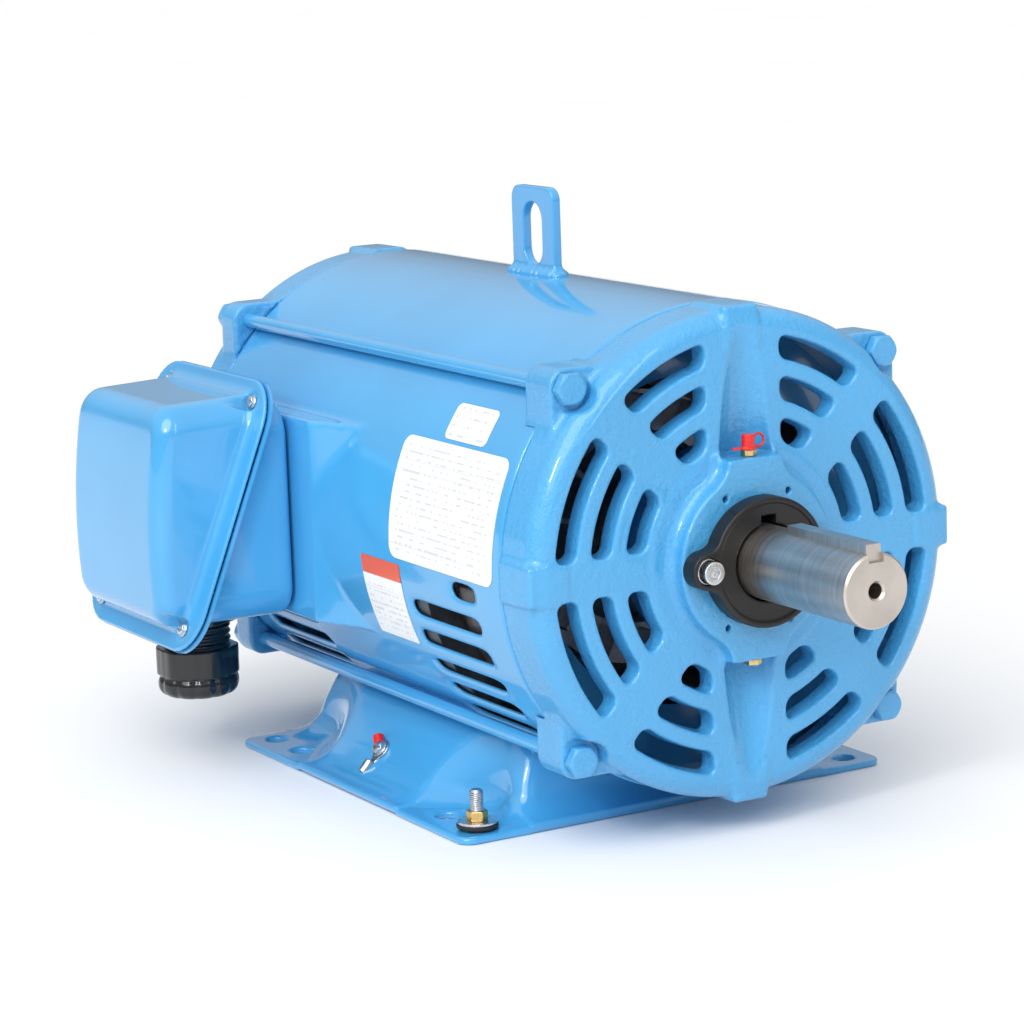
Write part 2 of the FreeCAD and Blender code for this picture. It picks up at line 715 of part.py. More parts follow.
def make_through_bolts():
    nut_seat = S.shell_rear - S.rear_lug_depth
    bolts, nuts = [], []
    for side_y in (1, -1):
        for side_z in (1, -1):
            mark = "%d_%d" % (side_y, side_z)
            across, up = S.bolt_offset * side_y, S.bolt_offset * side_z
            rod = axial("rod_" + mark, S.bolt_radius, nut_seat - 9,
                        S.drive_lug_front - nut_seat + 9, across, up)
            head = hexagon("bolt_head_" + mark, S.bolt_head_across, S.bolt_head_height,
                           S.drive_lug_front, across, S.shaft_height + up, ALONG_X)
            bolts.append(fuse("through_bolt_" + mark, [rod, head]))
            nut = hexagon("nut_solid_" + mark, S.bolt_head_across, 8,
                          nut_seat - 8, across, S.shaft_height + up, ALONG_X)
            bore = axial("nut_bore_" + mark, S.bolt_radius + S.fit_gap, nut_seat - 10, 12,
                         across, up)
            nuts.append(cut("nut_" + mark, nut, bore))
    node(group("through_bolt_set", bolts), "through_bolts")
    node(group("through_bolt_nut_set", nuts), "through_bolt_nuts")


# ---------------------------------------------------------------- black cap and grease fittings


def make_seal_cap():
    start = S.drive_face + S.hub_stand
    thick = S.cap_face - start
    disc = axial("cap_disc", S.cap_radius, start, thick)
    ears = [axial("cap_ear_%d" % side, S.cap_ear_radius, start, thick, S.cap_ear_offset * side)
            for side in (1, -1)]
    bore = axial("cap_bore", S.shaft_radius + 1, start - 1, thick + 2)
    notch = box("cap_notch", (start - 1, -S.key_side / 2 - 1, S.shaft_height),
                (S.cap_face + 1, S.key_side / 2 + 1, S.shaft_height + 27))
    wells = [axial("cap_well_%d" % side, 7.4, S.cap_face - 3, 5, S.cap_ear_offset * side)
             for side in (1, -1)]
    screw_holes = [axial("cap_screw_hole_%d" % side, 4.3, start - 1, thick + 2,
                         S.cap_ear_offset * side) for side in (1, -1)]
    solid = fuse("cap_solid", [disc] + ears)
    node(cut("cap_cut", solid, bore, notch, group("cap_wells", wells),
             group("cap_screw_holes", screw_holes)), "seal_cap")
    screws = []
    for side in (1, -1):
        seat = S.cap_face - 3
        head = axial("cap_screw_head_%d" % side, 6.5, seat, 8, S.cap_ear_offset * side)
        shank = axial("cap_screw_shank_%d" % side, 4, start + 0.5, seat - start - 0.5,
                      S.cap_ear_offset * side)
        socket = hexagon("cap_screw_socket_%d" % side, 6, 6, seat + 4,
                         S.cap_ear_offset * side, S.shaft_height, ALONG_X)
        screws.append(cut("cap_screw_%d" % side, fuse("cap_screw_solid_%d" % side, [head, shank]),
                          socket))
    node(group("cap_screw_set", screws), "seal_cap_screws")


def make_grease_fittings(prefix, x):
    """A grease nipple that stands on the hub block, its red cap, and the relief plug below."""
    top = S.shaft_height + S.hub_block_reach
    hexagon_part = hexagon(prefix + "_nipple_hex", 8, 5, x, 0, top)
    stem = cylinder(prefix + "_nipple_stem", 2.8, 11, x, 0, top)
    node(fuse(prefix + "_nipple_solid", [hexagon_part, stem]), prefix + "_grease_nipple")
    outside = cylinder(prefix + "_cap_outside", 4.6, 9, x, 0, top + 5.2)
    inside = cylinder(prefix + "_cap_inside", 3, 7.3, x, 0, top + 4.2)
    node(cut(prefix + "_cap_cut", outside, inside), prefix + "_grease_cap")
    bottom = S.shaft_height - S.hub_block_reach
    node(hexagon(prefix + "_relief_hex", 9, 4, x, 0, bottom - 4), prefix + "_relief_plug")


# ---------------------------------------------------------------- conduit box

LEAN = Rotation(Vector(1, 0, 0), 90 - float(S.flange_lean))
OUTWARD = LEAN.multVec(Vector(0, 0, 1))
UPSLOPE = LEAN.multVec(Vector(0, 1, 0))
FLANGE_MIDDLE = Vector(float(S.box_middle_x), float(S.flange_middle_y), float(S.flange_middle_z))


def on_flange(across, up, out):
    """A point given across, up the slope and out of the cover's plane."""
    return FLANGE_MIDDLE + Vector(across, 0, 0) + UPSLOPE * up + OUTWARD * out


def flange_plate(name, low, high):
    """A rounded plate in the leaning plane, from low to high along its outward normal."""
    plate = doc.addObject("Part::Box", name + "_sharp")
    bind(plate, "Length", S.flange_half_x * 2)
    bind(plate, "Width", S.flange_half_slope * 2)
    plate.Height = high - low
    doc.recompute()
    rounded = round_edges(name, plate, S.flange_corner, runs_along(2))
    corner = on_flange(-float(S.flange_half_x), -float(S.flange_half_slope), low)
    rounded.Placement = Placement(corner, LEAN)
    return rounded


def half_space(name, out, outside):
    """A large block on one side of the leaning plane."""
    block = doc.addObject("Part::Box", name)
    block.Length = block.Width = 400
    block.Height = 200
    corner = on_flange(-200, -200, out if outside else out - 200)
    block.Placement = Placement(corner, LEAN)
    return block


def rounded_prism(name, inset, half_x, bottom, top, back, front, corner):
    """A box along Y with its four long edges rounded, shrunk by inset."""
    solid = box(name + "_sharp",
                (S.box_middle_x - half_x + inset, -front, bottom + inset),
                (S.box_middle_x + half_x - inset, -back, top - inset))
    return round_edges(name, solid, float(corner) - float(inset), runs_along(1))


def screw_points():
    """The four cover screws, across and up the slope from the flange's middle."""
    across, up = float(S.cover_screw_across), float(S.cover_screw_up)
    return [(side_x * across, side_up * up) for side_x in (-1, 1) for side_up in (-1, 1)]


def make_conduit_box():
    outer = rounded_prism("box_outer", Size(0), S.box_half_x, S.box_bottom, S.box_top,
                          S.box_back, Size(260), S.box_corner)
    outer = cut("box_sloped", outer, half_space("box_outside", -3, True))
    inner = rounded_prism("box_inner", S.box_wall, S.box_half_x, S.box_bottom, S.box_top,
                          S.box_back + S.box_wall, Size(260), S.box_corner)
    flange = flange_plate("box_flange", -5, -3)
    lead_hole = cylinder("box_lead_hole", S.lead_hole_radius, 20, S.box_middle_x,
                         -S.box_back - 10, S.shaft_height, ALONG_Y)
    gland_hole = cylinder("box_gland_hole", 20.3, 20, S.gland_x, S.gland_y, S.box_bottom - 10)
    tapped = []
    for number, (across, up) in enumerate(screw_points()):
        hole = doc.addObject("Part::Cylinder", "box_tap_%d" % number)
        hole.Radius, hole.Height = 2.1, 10
        hole.Placement = Placement(on_flange(across, up, -8), LEAN)
        tapped.append(hole)
    solid = fuse("box_solid", [outer, flange])
    node(cut("box_cut", solid, inner, lead_hole, gland_hole, group("box_taps", tapped)),
         "conduit_box_base")

    opening = rounded_prism("gasket_opening", S.box_wall, S.box_half_x, S.box_bottom, S.box_top,
                            S.box_back + S.box_wall, Size(260), S.box_corner)
    gasket_holes = []
    for number, (across, up) in enumerate(screw_points()):
        hole = doc.addObject("Part::Cylinder", "gasket_hole_%d" % number)
        hole.Radius, hole.Height = 2.5, 20
        hole.Placement = Placement(on_flange(across, up, -10), LEAN)
        gasket_holes.append(hole)
    node(cut("gasket_cut", flange_plate("gasket_plate", -3, -1), opening,
             group("gasket_holes", gasket_holes)), "cover_gasket")

    seat = box("box_gasket_plate",
               (S.box_middle_x - 45, -S.box_back, S.shaft_height - 45),
               (S.box_middle_x + 45, -S.boss_face, S.shaft_height + 45))
    seat_hole = cylinder("box_gasket_hole", S.lead_hole_radius, 20, S.box_middle_x,
                         -S.box_back - 5, S.shaft_height, ALONG_Y)
    node(cut("box_gasket_cut", seat, seat_hole), "box_gasket")


def make_conduit_cover():
    dome = rounded_prism("dome_outer", Size(0), S.cover_half_x, S.cover_bottom, S.cover_top,
                         Size(145), S.cover_face, S.cover_corner)
    hollow = rounded_prism("dome_inner", S.box_wall, S.cover_half_x, S.cover_bottom, S.cover_top,
                           Size(100), S.cover_face - S.box_wall, S.cover_corner)
    behind = half_space("dome_behind", -1, False)
    plate = flange_plate("cover_plate", -1, 1)
    holes = []
    for number, (across, up) in enumerate(screw_points()):
        hole = doc.addObject("Part::Cylinder", "cover_hole_%d" % number)
        hole.Radius, hole.Height = 2.5, 8
        hole.Placement = Placement(on_flange(across, up, -4), LEAN)
        holes.append(hole)
    solid = fuse("cover_solid", [cut("dome_cut", dome, behind), plate])
    node(cut("cover_cut", solid, hollow, group("cover_holes", holes)), "conduit_box_cover")
    screws = []
    for number, (across, up) in enumerate(screw_points()):
        head = doc.addObject("Part::Cylinder", "cover_screw_head_%d" % number)
        head.Radius, head.Height = 4.6, 3.4
        head.Placement = Placement(on_flange(across, up, 1), LEAN)
        shank = doc.addObject("Part::Cylinder", "cover_screw_shank_%d" % number)
        shank.Radius, shank.Height = 2, 9
        shank.Placement = Placement(on_flange(across, up, -8), LEAN)
        screws.append(fuse("cover_screw_%d" % number, [head, shank]))
    node(group("cover_screw_set", screws), "cover_screws")


def make_gland():
    level = S.box_bottom
    bore = cylinder("gland_body_bore", S.gland_bore + 4, 80, S.gland_x, S.gland_y, level - 40)
    collar = hexagon("gland_collar", 46, 10, S.gland_x, S.gland_y, level - 10)
    thread = cylinder("gland_thread", 20, 38, S.gland_x, S.gland_y, level - 26)
    node(cut("gland_body_cut", fuse("gland_body_solid", [collar, thread]), bore), "gland_body")

    locknut = hexagon("gland_locknut_solid", 46, 5, S.gland_x, S.gland_y, level + S.box_wall)
    locknut_bore = cylinder("gland_locknut_bore", 20.1, 20, S.gland_x, S.gland_y, level - 2)
    node(cut("gland_locknut_cut", locknut, locknut_bore), "gland_locknut")

    skirt = hexagon("gland_nut_hex", 48, 18, S.gland_x, S.gland_y, S.gland_bottom + 13)
    dome = doc.addObject("Part::Cone", "gland_nut_dome")
    dome.Radius1, dome.Radius2, dome.Height = 18, 24, 13
    place(dome, S.gland_x, S.gland_y, S.gland_bottom)
    room = cylinder("gland_nut_room", 20.1, 40, S.gland_x, S.gland_y, S.gland_bottom + 13)
    mouth = cylinder("gland_nut_mouth", S.gland_bore + 1, 40, S.gland_x, S.gland_y,
                     S.gland_bottom - 1)
    node(cut("gland_nut_cut", fuse("gland_nut_solid", [skirt, dome]), room, mouth), "gland_nut")

    seal = cylinder("gland_seal_solid", S.gland_bore + 3.9, 17, S.gland_x, S.gland_y,
                    S.gland_bottom + 13)
    hole = cylinder("gland_seal_hole", S.gland_bore, 30, S.gland_x, S.gland_y, S.gland_bottom)
    node(cut("gland_seal_cut", seal, hole), "gland_seal")


def make_box_screws():
    """Two screws that hold the conduit box to the frame, one each side of the lead hole."""
    screws = []
    for side in (1, -1):
        x = S.box_middle_x + 36 * side
        head = cylinder("box_screw_head_%d" % side, 6.5, 5, x, -S.box_back - S.box_wall - 5,
                        S.shaft_height, ALONG_Y)
        screws.append(head)
    node(group("box_screw_set", screws), "box_screws")


def make_motor_leads():
    """Three leads from the winding, through the lead hole, each ending in a flat lug."""
    leads = []
    for number in range(3):
        x = S.box_middle_x + 12 * (number - 1)
        wire = cylinder("lead_wire_%d" % number, 3.2, 62, x, -186, S.shaft_height + 4, ALONG_Y)
        lug = box("lead_lug_%d" % number, (x - 4, -202, S.shaft_height + 3),
                  (x + 4, -184, S.shaft_height + 5))
        leads.append(fuse("lead_%d" % number, [wire, lug]))
    node(group("motor_lead_set", leads), "motor_leads")


# ---------------------------------------------------------------- labels, ground screw, stud


def make_label(label, start, end, low_angle, high_angle):
    """A thin label wrapped on the shell; angles in degrees from +Y, as seen along +X."""
    outer = doc.addObject("Part::Cylinder", label + "_outer")
    inner = doc.addObject("Part::Cylinder", label + "_inner")
    for made, radius, grow in ((outer, S.shell_radius + S.label_thickness + 0.02, 0),
                               (inner, S.shell_radius + 0.02, 1)):
        bind(made, "Radius", radius)
        made.Height = end - start + 2 * grow
        made.Angle = high_angle - low_angle + 2 * grow
        turn = ALONG_X.multiply(Rotation(Vector(0, 0, 1), low_angle - grow + 90))
        place(made, start - grow, 0, S.shaft_height, turn)
    node(cut(label + "_cut", outer, inner), label)


def off_wall(kind, name, step, **sizes):
    """A primitive standing on the saddle's wall at the ground screw, step mm out from it."""
    piece = doc.addObject(kind, name)
    for key, value in sizes.items():
        setattr(piece, key, value)
    out = GROUND_WALL.multVec(Vector(0, 0, 1))
    piece.Placement = Placement(GROUND_SEAT + out * step, GROUND_WALL)
    return piece


def make_ground_screw():
    ring = off_wall("Part::Cylinder", "terminal_ring", 0.2, Radius=6.5, Height=1.2)
    tongue = off_wall("Part::Box", "terminal_tongue", 0.2, Length=5, Width=18, Height=1.2)
    tongue.Placement.Base += GROUND_WALL.multVec(Vector(-2.5, -18, 0))
    hole = off_wall("Part::Cylinder", "terminal_hole", -2, Radius=3.2, Height=10)
    node(cut("terminal_cut", fuse("terminal_solid", [ring, tongue]), hole), "ground_terminal")
    head = off_wall("Part::Cylinder", "ground_screw_head", 1.5, Radius=5.6, Height=4)
    shank = off_wall("Part::Cylinder", "ground_screw_shank", -10, Radius=2.8, Height=12)
    node(fuse("ground_screw_solid", [head, shank]), "ground_screw")


def make_foot_stud():
    across, along = -S.foot_half_y, S.foot_outer_half_x
    plate = S.base_plate
    washers = []
    for name, radius, level, thick in (("rubber", 12.0, plate, 2.4),
                                       ("steel", 11.5, plate + 2.4, 1.6)):
        solid = cylinder("stud_washer_" + name, radius, thick, along, across, level)
        hole = cylinder("stud_washer_hole_" + name, 5.1, 10, along, across, plate - 1)
        washers.append(cut("stud_washer_cut_" + name, solid, hole))
    node(washers[0], "stud_rubber_washer")
    node(washers[1], "stud_washer")
    nut = hexagon("stud_nut_solid", 11.0, 5.8, along, across, plate + 4)
    nut_hole = cylinder("stud_nut_hole", 4.1, 20, along, across, plate)
    node(cut("stud_nut_cut", nut, nut_hole), "stud_nut")
    node(cylinder("stud_rod", 4, 27, along, across, 0.5), "foot_stud")


# ---------------------------------------------------------------- build, check and write

make_frame_shell()
make_lifting_lug()
make_motor_base()
make_end_shield("drive_endshield", 1, S.drive_face, S.shell_front, S.hub_stand,
                S.drive_bearing_outer, S.drive_bearing_back, S.drive_bearing_width,
                Size(23), S.drive_lug_back, S.drive_lug_front)
make_end_shield("rear_endshield", -1, S.rear_face, -S.shell_rear, S.rear_hub_stand,
                S.rear_bearing_outer, -S.rear_bearing_front, S.rear_bearing_width,
                Size(0), -S.shell_rear, -S.shell_rear + S.rear_lug_depth)
make_bearing("drive_bearing", S.drive_bearing_back, S.drive_bearing_bore, S.drive_bearing_outer,
             S.drive_bearing_width, 8, 8.55)
make_bearing("rear_bearing", S.rear_bearing_front - S.rear_bearing_width, S.rear_bearing_bore,
             S.rear_bearing_outer, S.rear_bearing_width, 9, 6.2)
make_stator()
make_rotor()
make_shaft()
make_inner_trim()
make_through_bolts()
make_seal_cap()
make_grease_fittings("drive", S.drive_face + 3)
make_grease_fittings("rear", -S.rear_face - 1)
make_conduit_box()
make_conduit_cover()
make_gland()
make_box_screws()
make_motor_leads()
make_label("rating_label", 58.5, 176, 153, 182.5)
make_label("info_label", 98.5, 144, 142.8, 151.9)
make_label("notice_label", 22, 68, 184.1, 204.5)
make_ground_screw()
make_foot_stud()
doc.recompute()

for thing in doc.Objects:
    if "Invalid" in thing.State or "Error" in thing.State:
        raise RuntimeError("%s failed: %s" % (thing.Name, thing.State))
os.makedirs("parts", exist_ok=True)
for piece in nodes:
    if piece.Shape.isNull() or not piece.Shape.isValid():
        raise RuntimeError("%s has no valid shape" % piece.Label)
    if not piece.Shape.Solids:
        raise RuntimeError("%s holds no solid" % piece.Label)
    piece.Shape.exportStep("parts/%s.step" % piece.Label)
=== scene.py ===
"""The looks of an open drip-proof electric motor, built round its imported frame.

Sizes below are in millimetres in the row's frame: +X along the shaft to the driven end, +Z up,
the conduit box on the -Y side.  carve() and spin() turn them into metres.
"""
import json
import math

import bmesh
import bpy
import numpy as np
import openvdb
from mathutils import Matrix, Vector


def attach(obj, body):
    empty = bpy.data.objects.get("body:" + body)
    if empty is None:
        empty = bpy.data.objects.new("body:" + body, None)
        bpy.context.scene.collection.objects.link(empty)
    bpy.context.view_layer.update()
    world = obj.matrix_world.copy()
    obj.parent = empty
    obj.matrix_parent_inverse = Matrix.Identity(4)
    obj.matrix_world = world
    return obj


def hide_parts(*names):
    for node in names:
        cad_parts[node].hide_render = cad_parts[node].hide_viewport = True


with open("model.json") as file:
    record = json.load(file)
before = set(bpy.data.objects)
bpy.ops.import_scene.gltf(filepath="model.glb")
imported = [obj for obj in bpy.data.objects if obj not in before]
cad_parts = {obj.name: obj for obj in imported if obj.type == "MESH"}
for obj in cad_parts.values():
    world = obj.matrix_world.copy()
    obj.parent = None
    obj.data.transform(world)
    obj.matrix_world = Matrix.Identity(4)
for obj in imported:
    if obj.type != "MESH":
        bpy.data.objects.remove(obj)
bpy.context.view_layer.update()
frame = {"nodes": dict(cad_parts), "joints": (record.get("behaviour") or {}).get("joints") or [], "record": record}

MM = 0.001
AXIS_Z = frame["joints"][0]["pos_m"][2] / MM      # height of the shaft's axis
STATOR, ROTOR = "stator_frame", "rotor"


# ---------------------------------------------------------------- node materials


class Nodes:
    """A short way to wire a node material."""

    def __init__(self, name):
        self.material = bpy.data.materials.new(name)
        self.material.use_nodes = True
        self.tree = self.material.node_tree
        self.shader = self.tree.nodes["Principled BSDF"]

    def add(self, kind, settings=None, **inputs):
        made = self.tree.nodes.new(kind)
        for key, value in (settings or {}).items():
            setattr(made, key, value)
        for key, value in inputs.items():
            self.feed(made, key.replace("_", " "), value)
        return made

    def feed(self, made, socket, value):
        target = made.inputs[int(socket)] if socket.isdigit() else made.inputs[socket]
        if isinstance(value, bpy.types.NodeSocket):
            self.tree.links.new(value, target)
        else:
            target.default_value = value

    def math(self, operation, first, second=0.0, third=0.0):
        made = self.add("ShaderNodeMath", {"operation": operation})
        for socket, value in zip(made.inputs, (first, second, third)):
            if isinstance(value, bpy.types.NodeSocket):
                self.tree.links.new(value, socket)
            else:
                socket.default_value = value
        return made.outputs[0]

    def point(self):
        return self.add("ShaderNodeTexCoord").outputs["Object"]

    def noise(self, scale, detail=3.0, roughness=0.5, where=None):
        made = self.add("ShaderNodeTexNoise", Scale=scale, Detail=detail, Roughness=roughness)
        self.tree.links.new(where or self.point(), made.inputs["Vector"])
        return made.outputs["Fac"]

    def stretched(self, *scales):
        """The object's own coordinates, stretched along each axis."""
        made = self.add("ShaderNodeMapping", Vector=self.point())
        made.inputs["Scale"].default_value = scales
        return made.outputs["Vector"]

    def spread(self, value, low, high, out_low=0.0, out_high=1.0):
        made = self.add("ShaderNodeMapRange", Value=value)
        for key, number in (("From Min", low), ("From Max", high), ("To Min", out_low),
                            ("To Max", out_high)):
            made.inputs[key].default_value = number
        return made.outputs["Result"]

    def mix(self, share, first, second):
        made = self.add("ShaderNodeMix", {"data_type": "RGBA"})
        for socket, value in ((made.inputs[0], share), (made.inputs[6], first),
                              (made.inputs[7], second)):
            if isinstance(value, bpy.types.NodeSocket):
                self.tree.links.new(value, socket)
            else:
                socket.default_value = value
        return made.outputs[2]

    def bump(self, height, strength, distance, below=None):
        made = self.add("ShaderNodeBump", Height=height, Strength=strength, Distance=distance)
        if below:
            self.tree.links.new(below, made.inputs["Normal"])
        return made.outputs["Normal"]

    def finish(self, **inputs):
        for key, value in inputs.items():
            self.feed(self.shader, key.replace("_", " "), value)
        return self.material


def shade(colour, share):
    """A colour made lighter or darker, as RGBA."""
    return tuple(part * share for part in colour) + (1.0,)


BLUE = (0.062, 0.355, 0.690)


def paint(name, peel, wobble, cast):
    """Glossy sky-blue enamel.  cast adds the grain of the casting and beads of paint."""
    made = Nodes(name)
    broad = made.noise(9.0, 3.0)
    colour = made.mix(made.spread(broad, 0.3, 0.7), shade(BLUE, 0.93), shade(BLUE, 1.05))
    rough = made.spread(made.noise(60.0, 4.0), 0.3, 0.7, 0.14 + 0.10 * cast, 0.20 + 0.16 * cast)
    normal = made.bump(made.noise(330.0, 2.0), peel, 0.0004)
    normal = made.bump(made.noise(30.0, 2.0, 0.4), wobble, 0.0012, normal)
    if cast:
        grain = made.spread(made.noise(260.0, 5.0, 0.65), 0.35, 0.75)
        normal = made.bump(grain, 0.5, 0.0010, normal)
        drops = made.add("ShaderNodeTexVoronoi", {"feature": "SMOOTH_F1"}, Scale=110.0)
        made.tree.links.new(made.point(), drops.inputs["Vector"])
        beads = made.spread(drops.outputs["Distance"], 0.0, 0.18, 1.0, 0.0)
        patches = made.spread(made.noise(14.0, 2.0), 0.5, 0.62)
        normal = made.bump(made.math("MULTIPLY", beads, patches), 0.35, 0.0006, normal)
    return made.finish(Base_Color=colour, Roughness=rough, Normal=normal, Coat_Weight=0.7,
                       Coat_Roughness=0.04, Specular_IOR_Level=0.5)


def metal(name, colour, rough_low, rough_high, grain=(1, 1, 1), scale=220.0, strength=0.15):
    """A bare metal with its grain along the axis whose scale is small."""
    made = Nodes(name)
    streaks = made.noise(scale, 4.0, 0.6, made.stretched(*grain))
    tint = made.mix(made.spread(streaks, 0.3, 0.7), shade(colour, 0.80), shade(colour, 1.08))
    rough = made.spread(streaks, 0.25, 0.75, rough_low, rough_high)
    normal = made.bump(streaks, strength, 0.0003)
    return made.finish(Base_Color=tint, Metallic=1.0, Roughness=rough, Normal=normal)


def plastic(name, colour, rough, grain=420.0, strength=0.2, coat=0.0):
    """Moulded plastic or rubber: a fine skin and slightly uneven gloss."""
    made = Nodes(name)
    tint = made.mix(made.spread(made.noise(35.0), 0.3, 0.7), shade(colour, 0.8), shade(colour, 1.2))
    sheen = made.spread(made.noise(70.0, 4.0), 0.3, 0.7, rough * 0.85, rough * 1.2)
    normal = made.bump(made.noise(grain, 3.0), strength, 0.0003)
    return made.finish(Base_Color=tint, Roughness=sheen, Normal=normal, Coat_Weight=coat)


MATERIALS = {
    "blue_sheet": paint("blue_sheet", 0.10, 0.10, 0),
    "blue_casting": paint("blue_casting", 0.10, 0.22, 1),
    "machined_steel": metal("machined_steel", (0.60, 0.55, 0.50), 0.32, 0.42, (14, 0.5, 0.5), 60.0,
                            0.03),
    "lamination_steel": metal("lamination_steel", (0.16, 0.165, 0.18), 0.45, 0.6, (40, 1, 1)),
    "cast_aluminium": metal("cast_aluminium", (0.60, 0.61, 0.63), 0.4, 0.55),
    "zinc": metal("zinc", (0.66, 0.68, 0.70), 0.2, 0.36, scale=300.0),
    "yellow_zinc": metal("yellow_zinc", (0.78, 0.52, 0.20), 0.22, 0.36, scale=300.0),
    "brass": metal("brass", (0.76, 0.55, 0.25), 0.24, 0.36, scale=300.0),
    "bearing_steel": metal("bearing_steel", (0.62, 0.63, 0.66), 0.08, 0.16),
    # the winding's near-black colour is partly its dark varnish and partly painted shade for the inside of the
    # frame, seen through the louvres and vent slots
    "copper_winding": plastic("copper_winding", (0.030, 0.012, 0.008), 0.3, 90.0, 0.8, 0.4),
    "black_plastic": plastic("black_plastic", (0.006, 0.006, 0.007), 0.42, 260.0, 0.3),
    "label_film": plastic("label_film", (0.82, 0.83, 0.84), 0.3),
    "nylon": plastic("nylon", (0.005, 0.006, 0.007), 0.2, 200.0, 0.12, 0.3),
    "black_rubber": plastic("black_rubber", (0.014, 0.014, 0.015), 0.55),
    "red_plastic": plastic("red_plastic", (0.72, 0.012, 0.006), 0.3, coat=0.3),
}
SLOTS = {entry["node"]: entry["material_slot"] for entry in frame["record"]["subparts"]}


# ---------------------------------------------------------------- meshes from distance fields


def settle(piece, slot, body, *nodes):
    """Gives a piece its material, its body and the CAD nodes that it stands for."""
    if piece.type == "MESH" and not piece.data.materials:
        piece.data.materials.append(MATERIALS[slot])
    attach(piece, body)
    if nodes:
        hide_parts(*nodes)
    return piece


def mesh_piece(name, points, faces, smooth=True):
    mesh = bpy.data.meshes.new(name)
    mesh.from_pydata(points, [], faces)
    mesh.validate()
    mesh.update()
    if smooth:
        mesh.shade_smooth()
    piece = bpy.data.objects.new(name, mesh)
    bpy.context.scene.collection.objects.link(piece)
    return piece


def carve(name, low, high, step, distance, turn=None):
    """A closed mesh of the surface where distance(x, y, z) is zero.

    low and high are the corners of the space looked at and step is the grid's pitch, in mm.
    turn is a matrix that places the finished mesh, in mm."""
    counts = [int(math.ceil((top - bottom) / step)) + 1 for bottom, top in zip(low, high)]
    axes = [bottom + step * np.arange(count) for bottom, count in zip(low, counts)]
    x, y, z = np.meshgrid(*axes, indexing="ij", sparse=True)
    field = np.broadcast_to(distance(x, y, z) / step, counts)
    band = 3.0
    grid = openvdb.FloatGrid(band)
    grid.copyFromArray(np.clip(field, -band, band).astype(np.float32))
    points, _, quads = grid.convertToPolygons(isovalue=0.0, adaptivity=0.0)
    points = points * step + np.array(low)
    if turn is not None:
        points = points @ np.array(turn.to_3x3()).T + np.array(turn.translation)
    return mesh_piece(name, (points * MM).tolist(), quads.tolist())


def round_max(first, second, radius):
    """Where two solids meet, with the edge between them rounded."""
    corner = np.hypot(np.maximum(first + radius, 0), np.maximum(second + radius, 0))
    return np.minimum(-radius, np.maximum(first, second)) + corner


def round_min(first, second, radius):
    """Two solids joined, with a fillet between them."""
    corner = np.hypot(np.maximum(radius - first, 0), np.maximum(radius - second, 0))
    return np.maximum(radius, np.minimum(first, second)) - corner


def within(value, low, high):
    return np.maximum(low - value, value - high)


def rounded_rectangle(across, up, half_across, half_up, radius):
    over_a = np.abs(across) - half_across + radius
    over_b = np.abs(up) - half_up + radius
    inside = np.minimum(np.maximum(over_a, over_b), 0)
    return np.hypot(np.maximum(over_a, 0), np.maximum(over_b, 0)) + inside - radius


def hexagon(across, up, half):
    """A hexagon whose flats are half away from its middle, two of them facing up and down."""
    leaning = np.abs(across) * math.cos(math.pi / 6) + np.abs(up) * 0.5
    return np.maximum(np.abs(up), leaning) - half


def spin(name, profile, place, sides=64):
    """A closed ring mesh: profile is (radius, height) in mm, turned round the local Z axis."""
    points, faces = [], []
    count = len(profile)
    for side in range(sides):
        angle = 2 * math.pi * side / sides
        for radius, height in profile:
            spot = place @ Vector((radius * math.cos(angle), radius * math.sin(angle), height))
            points.append(tuple(spot * MM))
        start, after = side * count, (side + 1) % sides * count
        for step in range(count):
            ahead = (step + 1) % count
            faces.append((start + step, after + step, after + ahead, start + ahead))
    piece = mesh_piece(name, points, faces)
    soften(piece)
    return piece


def soften(piece, angle=35):
    """Cleans doubled points, points every face outwards and keeps its sharp edges sharp."""
    work = bmesh.new()
    work.from_mesh(piece.data)
    bmesh.ops.remove_doubles(work, verts=work.verts, dist=1e-6)
    bmesh.ops.dissolve_degenerate(work, edges=work.edges, dist=1e-7)
    bmesh.ops.recalc_face_normals(work, faces=work.faces)
    for edge in work.edges:
        sharp = len(edge.link_faces) == 2 and edge.calc_face_angle() > math.radians(angle)
        edge.smooth = not sharp
    work.to_mesh(piece.data)
    work.free()


def facing(place, direction):
    """A matrix in mm that puts the local Z axis along direction at place."""
    return Matrix.Translation(place) @ Vector(direction).to_track_quat("Z", "Y").to_matrix().to_4x4()


# ---------------------------------------------------------------- end shields

RIM_RADIUS, RIM_DRAFT, RIM_ROUNDING = 138.8, 0.035, 11.0
SHELL_RADIUS = 139.5
PLATE, RIM_WALL, HOUSING_RADIUS = 13.0, 8.0, 60.0
HUB_RADIUS, BLOCK_HALF, LEDGE = 50.0, 18.0, 57.0
SLOT_ROWS, SLOT_HALF, SLOT_CORNER, SLOT_DRAFT = (72.7, 94.9, 117.1), 6.6, 5.2, 0.10
RIB_LEVEL, RIB_UPRIGHT, RIB_SLANT = 10.5, 24.5, 11.8
PAD_HALF, PAD_REACH = 11.5, 140.0
BOLT = 103.08                      # through bolts, sideways and up from the axis
LUG_REACH, LUG_CORNER = 113.9, 10.6
SCOOP_RADIUS, SCOOP_DEPTH, SCOOP_TOP = 17.5, 13.0, 126.0
TAPPED_CIRCLE, TAPPED_RADIUS = 41.5, 1.9           # small holes round the hub


def scoop(out, across, up, face):
    """The groove over each ledge: a round cutter leaning out of the face towards the rim."""
    rise = (np.abs(up) - LEDGE) / (SCOOP_TOP - LEDGE)
    middle = face + SCOOP_RADIUS - SCOOP_DEPTH * (1 - rise)
    groove = np.hypot(across, np.minimum(out - middle, 0)) - SCOOP_RADIUS
    return np.maximum(groove, LEDGE - np.abs(up))


